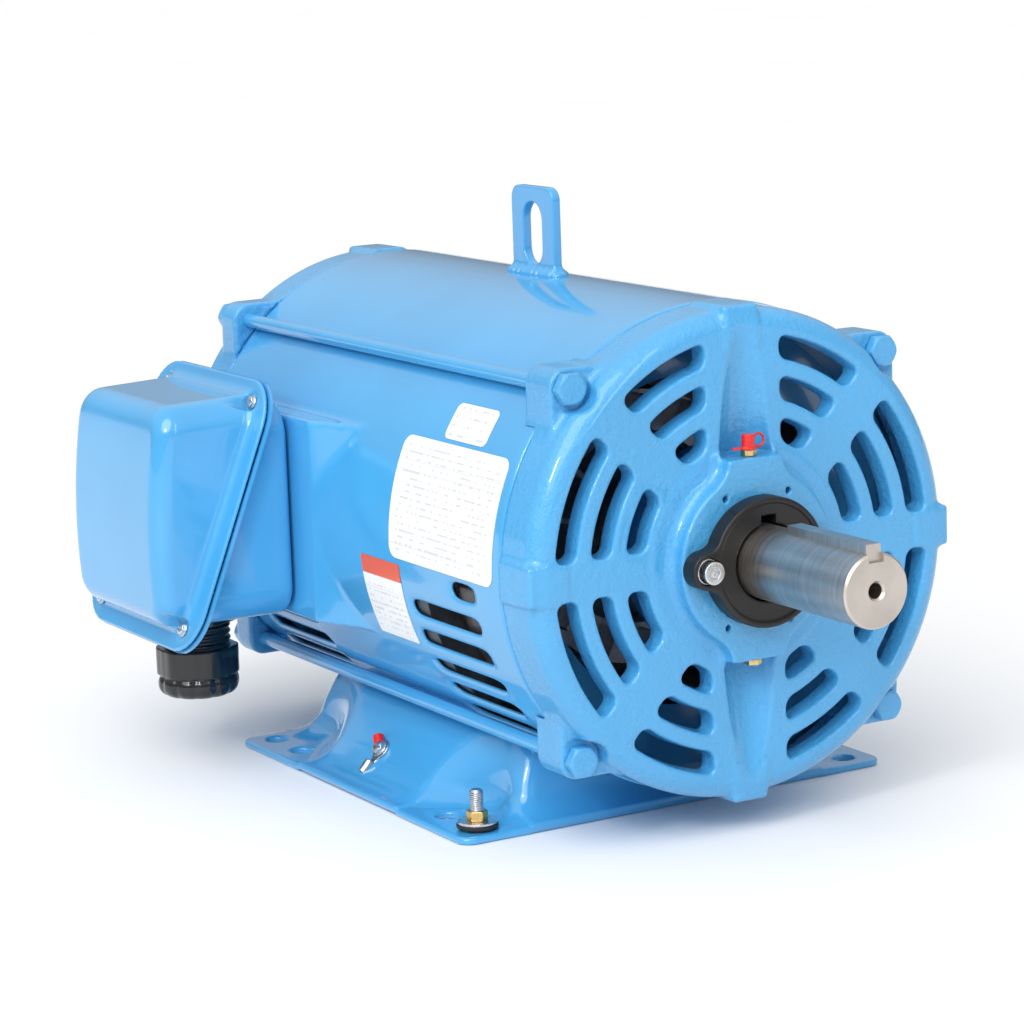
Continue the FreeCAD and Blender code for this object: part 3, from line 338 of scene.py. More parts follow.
def vent_slots(across, up, radius):
    """The curved slots, in three rows between level, upright and slanting ribs."""
    slant = RIB_SLANT - np.abs(np.abs(across) - np.abs(up)) / math.sqrt(2)
    ribs = np.maximum(RIB_LEVEL - np.abs(up), np.maximum(RIB_UPRIGHT - np.abs(across), slant))
    rows = [round_max(np.abs(radius - row) - SLOT_HALF, ribs, SLOT_CORNER) for row in SLOT_ROWS]
    return np.minimum(np.minimum(rows[0], rows[1]), rows[2])


def end_shield(name, way, seam, face, front, lug_back, lug_front, bore, step):
    """One cast end shield.  way is 1 at the driven end and -1 at the rear."""

    def distance(x, y, z):
        out, up = x * way, z - AXIS_Z
        radius = np.hypot(y, up)
        dish = round_max(radius - RIM_RADIUS + (out - seam) * RIM_DRAFT, out - face, RIM_ROUNDING)
        room = round_max(radius - RIM_RADIUS + RIM_WALL, out - face + PLATE, 7.0)
        dish = np.maximum(dish, -room)
        housing = np.maximum(radius - HOUSING_RADIUS, out - face + 2.0)
        dish = round_min(dish, housing, 5.0)
        block = round_max(np.abs(y) - BLOCK_HALF, np.abs(up) - LEDGE, 2.0)
        hub = round_max(round_min(radius - HUB_RADIUS, block, 9.0), out - front, 1.8)
        body = round_min(dish, hub, 7.0)
        for across, along in ((y, up), (up, y)):
            pad = round_max(np.abs(across) - PAD_HALF, np.abs(along) - PAD_REACH, 2.0)
            pad = round_max(pad, within(out, seam - 0.2, face - 0.6), 2.5)
            body = round_min(body, np.maximum(pad, 118.0 - np.abs(along)), 3.5)
        side, high = np.abs(y), np.abs(up)
        lug = round_max(side - LUG_REACH, high - LUG_REACH, LUG_CORNER)
        lug = round_max(lug, within(out, lug_back, lug_front), 2.0)
        shell_room = np.maximum(radius - SHELL_RADIUS - 0.3, out - seam)
        lug = np.maximum(np.maximum(lug, -shell_room), 127.0 - radius)
        body = round_min(body, np.maximum(lug, 70.0 - np.minimum(side, high)), 4.0)
        seat = np.maximum(np.hypot(side - BOLT, high - BOLT) - 12.3, lug_front - out)
        body = round_max(body, -seat, 1.5)
        body = round_max(body, -scoop(out, y, up, face), 1.0)
        draft = np.maximum(face - out, 0) * SLOT_DRAFT
        body = round_max(body, -vent_slots(y, up, radius) - draft, 1.5)
        tapped = np.hypot(side - TAPPED_CIRCLE / 2, high - TAPPED_CIRCLE * math.sin(math.pi / 3))
        body = np.maximum(body, -np.maximum(tapped - TAPPED_RADIUS, front - 7.0 - out))
        behind = np.where(radius < SHELL_RADIUS + 0.3, seam - out, -1e3)
        return np.maximum(np.maximum(body, bore - radius), behind)

    ends = sorted((way * (lug_back - 4), way * (front + 3)))
    reach = 154.0
    piece = carve(name + "_casting", (ends[0], -reach, AXIS_Z - reach),
                  (ends[1], reach, AXIS_Z + reach), step, distance)
    return settle(piece, "blue_casting", STATOR, name)


# ---------------------------------------------------------------- frame shell

LOUVRES = [(74.5, 152.0, side, row) for side in (1, -1) for row in range(5)]
LOUVRES += [(-157.0, -76.0, 1, row) for row in (2, 3, 4)]
LOUVRES += [(-152.0, -74.5, -1, row) for row in range(5)]
LOUVRES += [(126.0, 152.0, 1, -1)]
ROW_FIRST, ROW_PITCH, ROW_HALF = 14.0, 7.9, 1.95     # degrees below level


def row_angle(side, row):
    """Angle from +Y of a louvre's middle; side 1 is the -Y side."""
    below = ROW_FIRST + ROW_PITCH * row
    return 180 + below if side > 0 else 360 - below


def even_lines(edges, step):
    """Grid lines at each edge, with evenly spaced lines between them."""
    lines = []
    edges = sorted(set(edges))
    for low, high in zip(edges, edges[1:]):
        parts = max(1, int(round((high - low) / step)))
        lines += [low + (high - low) * part / parts for part in range(parts)]
    return lines + [edges[-1]]


BOSS_FACE, BOSS_HALF, BOSS_FRONT, BOSS_SLOPE = 141.0, 61.0, -36.0, 0.35


def shell_radius(x, angle):
    """The shell's outer radius, with the boss that carries the conduit box."""
    cosine, sine = np.cos(angle), np.sin(angle)
    reach = BOSS_FACE - np.maximum(x - BOSS_FRONT, 0) * BOSS_SLOPE
    face = np.where(cosine < -0.2, reach / np.maximum(-cosine, 0.2), 0)
    boss = np.minimum(face, BOSS_HALF / np.maximum(np.abs(sine), 0.05))
    blend = 2.5
    excess = np.maximum(blend - np.abs(boss - SHELL_RADIUS), 0) / blend
    return np.maximum(SHELL_RADIUS, boss) + excess ** 2 * blend / 4


def make_shell():
    """The rolled steel shell: a grid with its louvres left out, thickened and smoothed."""
    x_edges = [-187.0, -184.0, -40.0, -36.0, -30.0, 8.0, 181.0, 184.0]
    angle_edges = [150.0, 153.0, 157.0, 203.0, 207.0, 360.0, 0.0]
    for low, high, side, row in LOUVRES:
        middle = row_angle(side, row)
        x_edges += [low, high]
        angle_edges += [middle - ROW_HALF, middle + ROW_HALF]
    xs = even_lines(x_edges, 12.0)
    angles = even_lines([round(edge, 4) for edge in angle_edges], 3.6)[:-1]
    count = len(angles)

    def open_at(x, angle):
        return any(low < x < high and abs(angle - row_angle(side, row)) < ROW_HALF
                   for low, high, side, row in LOUVRES)

    points = [(x, SHELL_RADIUS * math.cos(math.radians(angle)),
               SHELL_RADIUS * math.sin(math.radians(angle)))
              for x in xs for angle in angles]
    faces = []
    for i, (x, x_after) in enumerate(zip(xs, xs[1:])):
        for j, angle in enumerate(angles):
            after = angles[(j + 1) % count] + (360 if j + 1 == count else 0)
            if not open_at((x + x_after) / 2, (angle + after) / 2):
                corner = i * count
                faces.append((corner + j, corner + (j + 1) % count,
                              corner + count + (j + 1) % count, corner + count + j))
    piece = mesh_piece("frame_shell_skin", points, faces)
    work = bmesh.new()
    work.from_mesh(piece.data)
    loose = [vert for vert in work.verts if not vert.link_faces]
    bmesh.ops.delete(work, geom=loose, context="VERTS")
    bmesh.ops.recalc_face_normals(work, faces=work.faces)
    work.to_mesh(piece.data)
    work.free()
    thick = piece.modifiers.new("wall", "SOLIDIFY")
    thick.thickness, thick.offset, thick.use_even_offset = 4.0, -1.0, True
    smooth = piece.modifiers.new("smooth", "SUBSURF")
    smooth.levels = smooth.render_levels = 2
    bake_modifiers(piece)
    flat = np.zeros(len(piece.data.vertices) * 3)
    piece.data.vertices.foreach_get("co", flat)
    flat = flat.reshape(-1, 3)
    radius, angle = np.hypot(flat[:, 1], flat[:, 2]), np.arctan2(flat[:, 2], flat[:, 1])
    if radius.max() > SHELL_RADIUS + 1:
        raise ValueError("the shell was thickened outwards")
    radius = radius + shell_radius(flat[:, 0], angle) - SHELL_RADIUS
    flat[:, 1], flat[:, 2] = radius * np.cos(angle), radius * np.sin(angle) + AXIS_Z
    piece.data.vertices.foreach_set("co", (flat * MM).ravel())
    piece.data.update()
    return settle(piece, "blue_sheet", STATOR, "frame_shell")


def bake_modifiers(piece):
    """Replaces a piece's mesh by the mesh its modifiers make."""
    view = bpy.context.evaluated_depsgraph_get()
    made = bpy.data.meshes.new_from_object(piece.evaluated_get(view))
    piece.modifiers.clear()
    piece.data = made
    made.shade_smooth()


# ---------------------------------------------------------------- base, lug, conduit box


PLATE_TOP, BASE_WALL, PAD_STEP = 5.6, 4.0, 1.3
SOLE = 0.02                                      # the base stands this far off the floor
SADDLE_HALF_X, SADDLE_HALF_Y = 133.0, 133.0      # at the level the base stands on
SADDLE_LEAN_X, SADDLE_LEAN_Y = 0.26, 0.885       # how far the walls draw in for each mm up
SCALLOP_X, SCALLOP_Y, SCALLOP_RADIUS = 107.0, 146.0, 45.0
PAD_EDGE_X, PAD_EDGE_Y = 62.0, 100.0             # where the four bolt pads end


def make_base():
    """The pressed base: a plate with a saddle, scalloped round the four bolt pads."""

    def saddle(x, y, z, inset):
        rise = np.maximum(z, 0)
        block = round_max(np.abs(x) - SADDLE_HALF_X + rise * SADDLE_LEAN_X + inset,
                          np.abs(y) - SADDLE_HALF_Y + rise * SADDLE_LEAN_Y + inset, 18.0)
        corner = np.hypot(np.abs(x) - SCALLOP_X, np.abs(y) - SCALLOP_Y)
        return round_max(block, SCALLOP_RADIUS + rise * 0.18 - corner + inset, 13.0) * 0.85

    def distance(x, y, z):
        radius = np.hypot(y, z - AXIS_Z)
        raised = np.minimum(np.maximum(np.abs(x) - PAD_EDGE_X, 0 * y),
                            np.maximum(np.abs(y) - PAD_EDGE_Y, 0 * x))
        share = np.clip(raised / 2.0, 0, 1)
        top = PLATE_TOP - PAD_STEP * share
        bottom = PAD_STEP * (1 - share)
        plate = round_max(rounded_rectangle(x, y, 143.0, 145.2, 9.0),
                          np.maximum(z - top, bottom + SOLE - z), 0.9)
        body = round_min(plate, np.maximum(saddle(x, y, z, 0), SOLE - z), 13.0)
        body = np.maximum(body, -np.maximum(saddle(x, y, z, BASE_WALL), -z - 5))
        body = np.maximum(body, SOLE - z)
        for half_x in (92.0, 127.0):
            hole = np.hypot(np.abs(x) - half_x, np.abs(y) - 127.0) - 6.75
            body = round_max(body, -hole, 0.6)
        return np.maximum(body, SHELL_RADIUS + 0.2 - radius)

    piece = carve("base_pressing", (-146, -148, -3), (146, 148, 58), 1.25, distance)
    return settle(piece, "blue_sheet", STATOR, "motor_base")


def make_lug():
    """The lifting lug and the uneven bead that welds it to the shell."""

    def distance(x, y, z):
        plate = rounded_rectangle(x, z - 318.5, 24.0, 32.2, 8.0)
        slot = rounded_rectangle(x, z - 322.5, 10.5, 18.7, 10.3)
        plate = round_max(round_max(plate, -slot, 1.0), np.abs(y) - 3.0, 1.0)
        ripple = 0.6 * np.sin(x * 0.9) + 0.5 * np.sin(x * 2.1 + 1.0)
        length = np.hypot(np.maximum(np.abs(x) - 22.0, 0) * 0.75, 0 * x)
        bead = np.sqrt(length ** 2 + (y * 0.62) ** 2 + (z - 298.0) ** 2) - 4.6 - ripple * 0.5
        return round_min(plate, np.maximum(bead, 293.0 - z), 2.5)

    piece = carve("lifting_lug_plate", (-34, -12, 291), (34, 12, 353), 0.7, distance)
    return settle(piece, "blue_sheet", STATOR, "lifting_lug")


LEAN = math.radians(21.9)
FLANGE_MIDDLE = Vector((-131.0, -184.0, 162.0))
FLANGE_OUT = Vector((0, -math.cos(LEAN), math.sin(LEAN)))
FLANGE_UP = Vector((0, math.sin(LEAN), math.cos(LEAN)))
FLANGE = (80.6, 85.2, 28.0)                       # half across, half up, corner radius
COVER_SCREW_ACROSS, COVER_SCREW_UP = 60.0, 71.0  # from the flange's middle


def flange_place(x, y, z):
    """Across, up the slope and out of the plane in which the cover's flange lies."""
    y, z = y - FLANGE_MIDDLE.y, z - FLANGE_MIDDLE.z
    return (x - FLANGE_MIDDLE.x, y * FLANGE_UP.y + z * FLANGE_UP.z,
            y * FLANGE_OUT.y + z * FLANGE_OUT.z)


def make_conduit_box():
    """The box on the shell's boss and its domed cover, each with half of the leaning flange."""

    def base(x, y, z):
        across, up, out = flange_place(x, y, z)
        tray = rounded_rectangle(x - FLANGE_MIDDLE.x, z - 162.5, 72.0, 65.5, 20.0)
        tray = round_max(tray, y + 142.6, 5.0)
        tray = np.maximum(tray, out + 1.2)
        lip = round_max(rounded_rectangle(across, up, *FLANGE), within(out, -3.2, -1.0), 0.9)
        return round_min(tray, lip, 3.5)

    def cover(x, y, z):
        across, up, out = flange_place(x, y, z)
        lip = round_max(rounded_rectangle(across, up, *FLANGE), within(out, 0.2, 2.6), 1.1)
        crown = 229.4 - (z - 145.0) ** 2 * 0.00125
        draft = (crown + y) * 0.05
        dome = rounded_rectangle(x - FLANGE_MIDDLE.x, z - 164.5, 63.5 + draft, 66.5 + draft * 0.6, 17.0)
        dome = round_max(dome, -y - crown, 11.0)
        dome = np.maximum(dome, 0.3 - out)
        body = round_min(dome, lip, 5.0)
        for side_x in (1, -1):
            for side_up in (1, -1):
                spot = np.hypot(across - COVER_SCREW_ACROSS * side_x,
                                up - COVER_SCREW_UP * side_up)
                dimple = np.maximum(spot - 6.2, 2.0 - out)
                body = round_max(body, -dimple, 1.2)
        return body

    low, high = (-214.5, -232, 77), (-47.5, -140, 244.5)
    settle(carve("conduit_tray", low, high, 1.2, base), "blue_sheet", STATOR, "conduit_box_base")
    settle(carve("conduit_cover_shell", low, high, 1.1, cover), "blue_sheet", STATOR,
           "conduit_box_cover")


def make_screw(name, place, across_flats, height, washer):
    """A hexagon washer head, domed on top, with a screwdriver slot."""

    def distance(x, y, z):
        head = round_max(hexagon(x, y, across_flats / 2), within(z, 0, height), 0.5)
        head = round_max(head, np.sqrt(x * x + y * y + (z + 4) ** 2) - (height + 4.1), 0.3)
        flange = round_max(np.hypot(x, y) - washer, within(z, 0, 1.1), 0.4)
        slot = np.maximum(np.abs(y) - 0.6, height - 1.0 - z)
        return np.maximum(np.minimum(head, flange), -slot)

    reach = max(washer, across_flats * 0.6) + 1
    return carve(name, (-reach, -reach, -1), (reach, reach, height + 1), 0.3, distance, place)


def make_cover_screws():
    number = 0
    for side_x in (1, -1):
        for side_up in (1, -1):
            spot = (FLANGE_MIDDLE + Vector((COVER_SCREW_ACROSS * side_x, 0, 0))
                    + FLANGE_UP * COVER_SCREW_UP * side_up + FLANGE_OUT * 2.0)
            piece = make_screw("cover_screw_%d" % number, facing(spot, FLANGE_OUT), 6.6, 3.4, 4.5)
            settle(piece, "zinc", STATOR, *(["cover_screws"] if number == 0 else []))
            number += 1


GLAND_X, GLAND_Y, GLAND_BORE = -133.0, -176.0, 14.0
GLAND_ROUND = 25.6                               # the turned corners of both hexagons


def make_gland():
    """The black gland: ribbed body, grip nut with chamfered flats, and a domed end."""

    def body(x, y, z):
        across, deep = x - GLAND_X, y - GLAND_Y
        radius = np.hypot(across, deep)
        ridges = 0.7 * np.cos(z * 2 * math.pi / 4.2)
        neck = np.maximum(radius - 20.5 - ridges, within(z, 70.0, 90.0))
        collar = round_max(round_max(hexagon(across, deep, 23.0), radius - GLAND_ROUND, 0.6),
                           within(z, 86.5, 96.8), 0.8)
        return np.maximum(np.minimum(neck, collar), GLAND_BORE - radius)

    def nut(x, y, z):
        across, deep = x - GLAND_X, y - GLAND_Y
        radius = np.hypot(across, deep)
        angle = np.arctan2(deep, across)
        lobes = 25.2 - 0.9 * (0.5 + 0.5 * np.cos(angle * 12)) ** 3
        flats = round_max(hexagon(across, deep, 24.0), radius - GLAND_ROUND, 0.8)
        grip = round_max(np.minimum(flats, radius - 24.2), within(z, 54.0, 71.5), 0.8)
        dome = round_max(radius - lobes, within(z, 41.0, 56.0), 7.0)
        body = np.minimum(grip, dome)
        return round_max(body, GLAND_BORE - radius, 1.5)

    low, high = (GLAND_X - 29, GLAND_Y - 29, 39), (GLAND_X + 29, GLAND_Y + 29, 99)
    settle(carve("gland_neck", low, high, 0.8, body), "nylon", STATOR, "gland_body")
    settle(carve("gland_cap_nut", low, high, 0.8, nut), "nylon", STATOR, "gland_nut")


# ---------------------------------------------------------------- bolts, cap, shaft trim


HEAD_SEAT, NUT_SEAT = 201.0, 207.0               # how far from the middle heads and nuts sit
TIE_FLAT, TIE_ROD = 8.5, 4.4                     # half across the flats, rod's radius


def make_bolts():
    """Four painted tie rods: hexagon heads at the driven end, nuts at the rear."""

    def head(x, y, z):
        six = round_max(hexagon(x, y, TIE_FLAT), within(z, 0, 6.5), 0.4)
        return round_max(six, np.hypot(x, y) + z * 0.9 - 13.9, 0.5)

    def nut(x, y, z):
        six = round_max(hexagon(x, y, TIE_FLAT), within(z, 0, 8.0), 0.4)
        return round_max(six, np.hypot(x, y) + z * 0.9 - 15.5, 0.5)

    rod = [(0.01, -400.0), (TIE_ROD, -400.0), (TIE_ROD, 2.0), (0.01, 2.0)]
    heads = []
    for side_y in (1, -1):
        for side_z in (1, -1):
            number = len(heads)
            front = facing((HEAD_SEAT, BOLT * side_y, AXIS_Z + BOLT * side_z), (1, 0, 0))
            rear = facing((-NUT_SEAT, BOLT * side_y, AXIS_Z + BOLT * side_z), (-1, 0, 0))
            heads.append(carve("tie_bolt_head_%d" % number, (-11, -11, -1), (11, 11, 8), 0.55,
                               head, front))
            settle(heads[-1], "blue_casting", STATOR)
            settle(spin("tie_rod_%d" % number, rod, front, 32), "blue_sheet", STATOR)
            settle(carve("tie_nut_%d" % number, (-11, -11, -1), (11, 11, 10), 0.6, nut, rear),
                   "blue_casting", STATOR)
    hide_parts("through_bolts", "through_bolt_nuts")


CAP_BACK, CAP_FRONT, CAP_RADIUS = 228.0, 240.0, 36.5
EAR_SPREAD, EAR_RADIUS = 40.0, 10.5


def make_cap():
    """The black cap round the shaft, with an ear and a socket screw each side."""

    def distance(x, y, z):
        up = z - AXIS_Z
        radius = np.hypot(y, up)
        ears = np.hypot(np.abs(y) - EAR_SPREAD, up) - EAR_RADIUS
        outline = round_min(radius - CAP_RADIUS, ears, 6.0)
        body = round_max(outline, within(x, CAP_BACK, CAP_FRONT), 1.3)
        well = np.maximum(np.hypot(np.abs(y) - EAR_SPREAD, up) - 7.6, CAP_FRONT - 2.5 - x)
        dish = np.maximum(radius - CAP_RADIUS + 3.5, CAP_FRONT - 1.4 - x)
        notch = np.maximum(np.maximum(np.abs(y) - 4.9, up - 26.4), -up)
        body = round_max(body, -well, 0.5)
        body = round_max(body, -dish, 0.8)
        body = round_max(body, 21.6 - radius, 1.2)
        return round_max(body, -notch, 0.6)

    piece = carve("shaft_seal_cap", (226, -54, AXIS_Z - 40), (242, 54, AXIS_Z + 40), 0.65, distance)
    settle(piece, "black_plastic", STATOR, "seal_cap")

    def screw(x, y, z):
        radius = np.hypot(x, y)
        knurl = 0.15 * np.cos(np.arctan2(y, x) * 32)
        head = round_max(radius - 6.4 - knurl, within(z, 0, 7.3), 0.7)
        socket = np.maximum(hexagon(x, y, 3.0), 3.8 - z)
        washer = round_max(radius - 7.3, within(z, 0, 0.9), 0.3)
        return np.minimum(round_max(head, -socket, 0.3), washer)

    for number, side in enumerate((-1, 1)):
        place = facing((CAP_FRONT - 2.4, EAR_SPREAD * side, AXIS_Z), (1, 0, 0))
        piece = carve("cap_screw_%d" % number, (-9, -9, -1), (9, 9, 8), 0.3, screw, place)
        settle(piece, "zinc", STATOR, *(["seal_cap_screws"] if number == 0 else []))


def make_grease_point(name, x, nodes):
    """A grease nipple with its red cap, the cap's flap and its strap loop."""
    ledge = AXIS_Z + LEDGE

    def nipple(u, v, w):
        six = round_max(hexagon(u, v, 3.9), within(w, 0, 3.6), 0.3)
        stem = np.maximum(np.hypot(u, v) - 2.6, within(w, 0, 6.0))
        return np.minimum(six, stem)

    def cap(u, v, w):
        radius = np.hypot(u, v)
        drum = round_max(radius - 3.9 + (w - 4) * 0.03, within(w, 3.4, 12.0), 0.7)
        brim = round_max(radius - 4.6, within(w, 3.4, 4.8), 0.4)
        loop = np.hypot(np.hypot(v - 6.6, w - 8.0) - 3.6, u) - 0.75
        flap = round_max(rounded_rectangle(u, v + 6.8, 1.6, 3.6, 1.2), within(w, 4.0, 5.2), 0.4)
        return round_min(round_min(np.minimum(drum, brim), loop, 0.5), flap, 0.5)

    place = Matrix.Translation((x, 0, ledge))
    settle(carve(name + "_fitting", (-6, -6, -1), (6, 6, 7), 0.3, nipple, place), "brass", STATOR,
           nodes[0])
    settle(carve(name + "_dust_cap", (-6, -12, 2), (6, 12, 13.5), 0.3, cap, place), "red_plastic",
           STATOR, nodes[1])

    def plug(u, v, w):
        return np.minimum(round_max(hexagon(u, v, 4.4), within(w, 0, 3.4), 0.4),
                          round_max(np.hypot(u, v) - 5.0, within(w, 0, 1.0), 0.3))

    below = facing((x, 0, AXIS_Z - LEDGE), (0, 0, -1))
    settle(carve(name + "_drain", (-6, -6, -1), (6, 6, 4.5), 0.3, plug, below), "brass", STATOR,
           nodes[2])


# ---------------------------------------------------------------- ground screw and stud

GROUND_SEAT = Vector((-8, -115.2, 20))
GROUND_OUT = Vector((0, -math.cos(math.radians(41.5)), math.sin(math.radians(41.5))))


def make_ground():
    """The ground screw on the saddle's slope, its ring terminal and the terminal's red sleeve."""
    place = facing(GROUND_SEAT, GROUND_OUT)
    above = place @ Matrix.Translation((0, 0, 1.5))
    settle(make_screw("ground_bolt", above, 8.0, 4.0, 5.6), "zinc", STATOR, "ground_screw")
    down = place.to_3x3().inverted() @ Vector((0, 0, -1))
    turn = Matrix.Rotation(math.atan2(down.y, down.x), 4, "Z")

    def terminal(x, y, z):
        ring = np.hypot(x, y) - 6.5
        tongue = rounded_rectangle(x - 10.0, y, 6.0, 2.8, 1.0)
        plate = round_max(round_min(ring, tongue, 2.0), within(z, 0.1, 1.4), 0.4)
        barrel = round_max(np.hypot(y, z - 2.5) - 3.2, within(x, 9.5, 18.0), 0.4)
        barrel = np.maximum(barrel, np.minimum(1.9 - np.hypot(y, z - 2.5), x - 12.0))
        return np.maximum(np.minimum(plate, barrel), 2.9 - np.hypot(x, y))

    settle(carve("earth_ring", (-8, -8, -1.5), (19.5, 8, 7), 0.35, terminal, place @ turn), "zinc",
           STATOR, "ground_terminal")
    sleeve = [(1.6, 3.0), (3.2, 3.4), (3.5, 9.4), (3.0, 9.8), (1.6, 9.6)]
    lean = place @ turn @ Matrix.Rotation(math.radians(-132), 4, "Z") @ Matrix.Rotation(
        math.radians(78), 4, "Y")
    settle(spin("earth_sleeve", sleeve, lean @ Matrix.Translation((-1.6, 0, 0)), 24), "red_plastic",
           STATOR)


def make_stud():
    """The threaded stud in the corner foot hole, its nut and its two washers."""
    spot = Matrix.Translation((127.0, -127.0, 0))
    pitch, crest, root = 1.25, 4.0, 3.45
    thread = [(0.01, 0.6), (root, 0.6), (crest, 1.4)]
    level = 1.4
    while level < 26.0:
        thread += [(crest, level + 0.15), (root, level + pitch / 2), (crest, level + pitch - 0.15)]
        level += pitch
    thread += [(3.0, 27.4), (0.01, 27.4)]
    settle(spin("threaded_stud", thread, spot, 32), "zinc", STATOR, "foot_stud")

    def washer(radius, hole, low, high, edge):
        return [(hole, low + edge), (hole + edge, low), (radius - edge, low), (radius, low + edge),
                (radius, high - edge), (radius - edge, high), (hole + edge, high),
                (hole, high - edge)]

    settle(spin("rubber_washer_ring", washer(12.0, 4.3, 5.65, 8.0, 0.5), spot), "black_rubber",
           STATOR, "stud_rubber_washer")
    settle(spin("steel_washer_ring", washer(11.5, 4.2, 8.05, 9.6, 0.3), spot), "zinc", STATOR,
           "stud_washer")

    def nut(x, y, z):
        six = round_max(hexagon(x, y, 5.5), within(z, 9.65, 15.4), 0.3)
        cones = np.hypot(x, y) + np.abs(z - 12.5) * 0.9 - 8.6
        return np.maximum(round_max(six, cones, 0.3), 3.9 - np.hypot(x, y))

    piece = carve("stud_hex_nut", (-9, -9, 9), (9, 9, 18.5), 0.4, nut, spot)
    settle(piece, "yellow_zinc", STATOR, "stud_nut")


# ---------------------------------------------------------------- labels


def printed(name, header, header_share, columns, rows, rules):
    """A white film printed with rules and grey bars that stand for text.  Nothing is legible."""
    made = Nodes(name)
    place = made.add("ShaderNodeUVMap", {"uv_map": "print"}).outputs["UV"]
    parts = made.add("ShaderNodeSeparateXYZ", Vector=place)
    across, up = parts.outputs["X"], parts.outputs["Y"]

    def band(value, middle, half):
        return made.math("LESS_THAN", made.math("ABSOLUTE", made.math("SUBTRACT", value, middle)),
                         half)

    cells = made.add("ShaderNodeMapping", Vector=place)
    cells.inputs["Scale"].default_value = (columns * 12.0, rows, 1)
    random = made.add("ShaderNodeTexWhiteNoise", {"noise_dimensions": "2D"})
    floor = made.add("ShaderNodeVectorMath", {"operation": "FLOOR"})
    made.tree.links.new(cells.outputs["Vector"], floor.inputs[0])
    made.tree.links.new(floor.outputs["Vector"], random.inputs["Vector"])
    line = made.math("FRACT", made.math("MULTIPLY", up, float(rows)))
    bars = made.math("MULTIPLY", band(line, 0.5, 0.15),
                     made.math("GREATER_THAN", random.outputs["Value"], 0.52))
    inside = made.math("MULTIPLY", band(across, 0.5, 0.44), band(up, 0.5 - header_share / 2,
                                                                 0.44 - header_share / 2))
    marks = made.math("MULTIPLY", made.math("MULTIPLY", bars, inside), 0.34)
    for rule in rules:
        marks = made.math("MAXIMUM", marks, made.math("MULTIPLY", band(up, rule, 0.003), 0.38))
    film = made.mix(marks, (0.83, 0.85, 0.86, 1), (0.16, 0.17, 0.19, 1))
    if header:
        film = made.mix(made.math("GREATER_THAN", up, 1 - header_share), film, header + (1.0,))
    rough = made.spread(made.noise(40.0), 0.3, 0.7, 0.26, 0.36)
    return made.finish(Base_Color=film, Roughness=rough, Coat_Weight=0.2)


def make_label(name, x_low, x_high, angle_low, angle_high, corner, film, node):
    """A film label bent round the shell, with rounded corners and its own printed side."""
    radius, thick = SHELL_RADIUS, 0.35
    wide = x_high - x_low
    tall = math.radians(angle_high - angle_low) * radius
    outline = []
    for turn, (across, up) in enumerate(((1, 1), (-1, 1), (-1, -1), (1, -1))):
        for step in range(7):
            angle = math.radians(90 * turn + 15 * step)
            outline.append((across * (wide / 2 - corner) + corner * math.cos(angle),
                            up * (tall / 2 - corner) + corner * math.sin(angle)))
    work = bmesh.new()
    rim = [work.verts.new((a, b, 0)) for a, b in outline]
    work.faces.new(rim)
    for cut in range(1, 12):
        level = tall * (cut / 12 - 0.5)
        bmesh.ops.bisect_plane(work, geom=work.verts[:] + work.edges[:] + work.faces[:],
                               plane_co=(0, level, 0), plane_no=(0, 1, 0))
    made = bmesh.ops.extrude_face_region(work, geom=work.faces[:])
    for vert in [item for item in made["geom"] if isinstance(item, bmesh.types.BMVert)]:
        vert.co.z = thick
    bmesh.ops.recalc_face_normals(work, faces=work.faces)
    uv = work.loops.layers.uv.new("print")
    for face in work.faces:
        for loop in face.loops:
            loop[uv].uv = (loop.vert.co.x / wide + 0.5, loop.vert.co.y / tall + 0.5)
    middle_angle = math.radians((angle_low + angle_high) / 2)
    for vert in work.verts:
        # up the label is towards smaller angles, because the shell is seen from its -Y side
        angle = middle_angle - vert.co.y / radius
        reach = radius + 0.05 + vert.co.z
        vert.co = Vector(((x_low + x_high) / 2 + vert.co.x, reach * math.cos(angle),
                          AXIS_Z + reach * math.sin(angle))) * MM
    bmesh.ops.recalc_face_normals(work, faces=work.faces)
    mesh = bpy.data.meshes.new(name)
    work.to_mesh(mesh)
    work.free()
    piece = bpy.data.objects.new(name, mesh)
    bpy.context.scene.collection.objects.link(piece)
    mesh.materials.append(film)
    return settle(piece, "label_film", STATOR, node)


def make_labels():
    """The rating plate, the small plate above it and the notice with its coloured head."""
    rating = printed("rating_print", None, 0.0, 4, 19, (0.87, 0.80, 0.72, 0.12))
    info = printed("info_print", None, 0.0, 3, 4, ())
    notice = printed("notice_print", (0.72, 0.10, 0.03), 0.22, 3, 13, (0.62, 0.42, 0.22))
    make_label("rating_plate", 58.5, 176.0, 153.0, 182.5, 7.0, rating, "rating_label")
    make_label("info_plate", 98.5, 144.0, 142.8, 151.9, 4.0, info, "info_label")
    make_label("notice_plate", 22.0, 68.0, 184.1, 204.5, 1.0, notice, "notice_label")


# ---------------------------------------------------------------- stage, light and camera


MOTOR_MIDDLE = Vector((0.0, 0.0, 0.16))     # metres, like every place of a light


def area_light(name, place, size, power):
    """A rectangular light that looks at the middle of the motor."""
    lamp = bpy.data.lights.new(name, "AREA")
    lamp.shape, lamp.size, lamp.size_y = "RECTANGLE", size[0], size[1]
    lamp.energy = power
    holder = bpy.data.objects.new(name, lamp)
    bpy.context.scene.collection.objects.link(holder)
    holder.location = place
    toward = MOTOR_MIDDLE - Vector(place)
    holder.rotation_euler = toward.to_track_quat("-Z", "Y").to_euler()


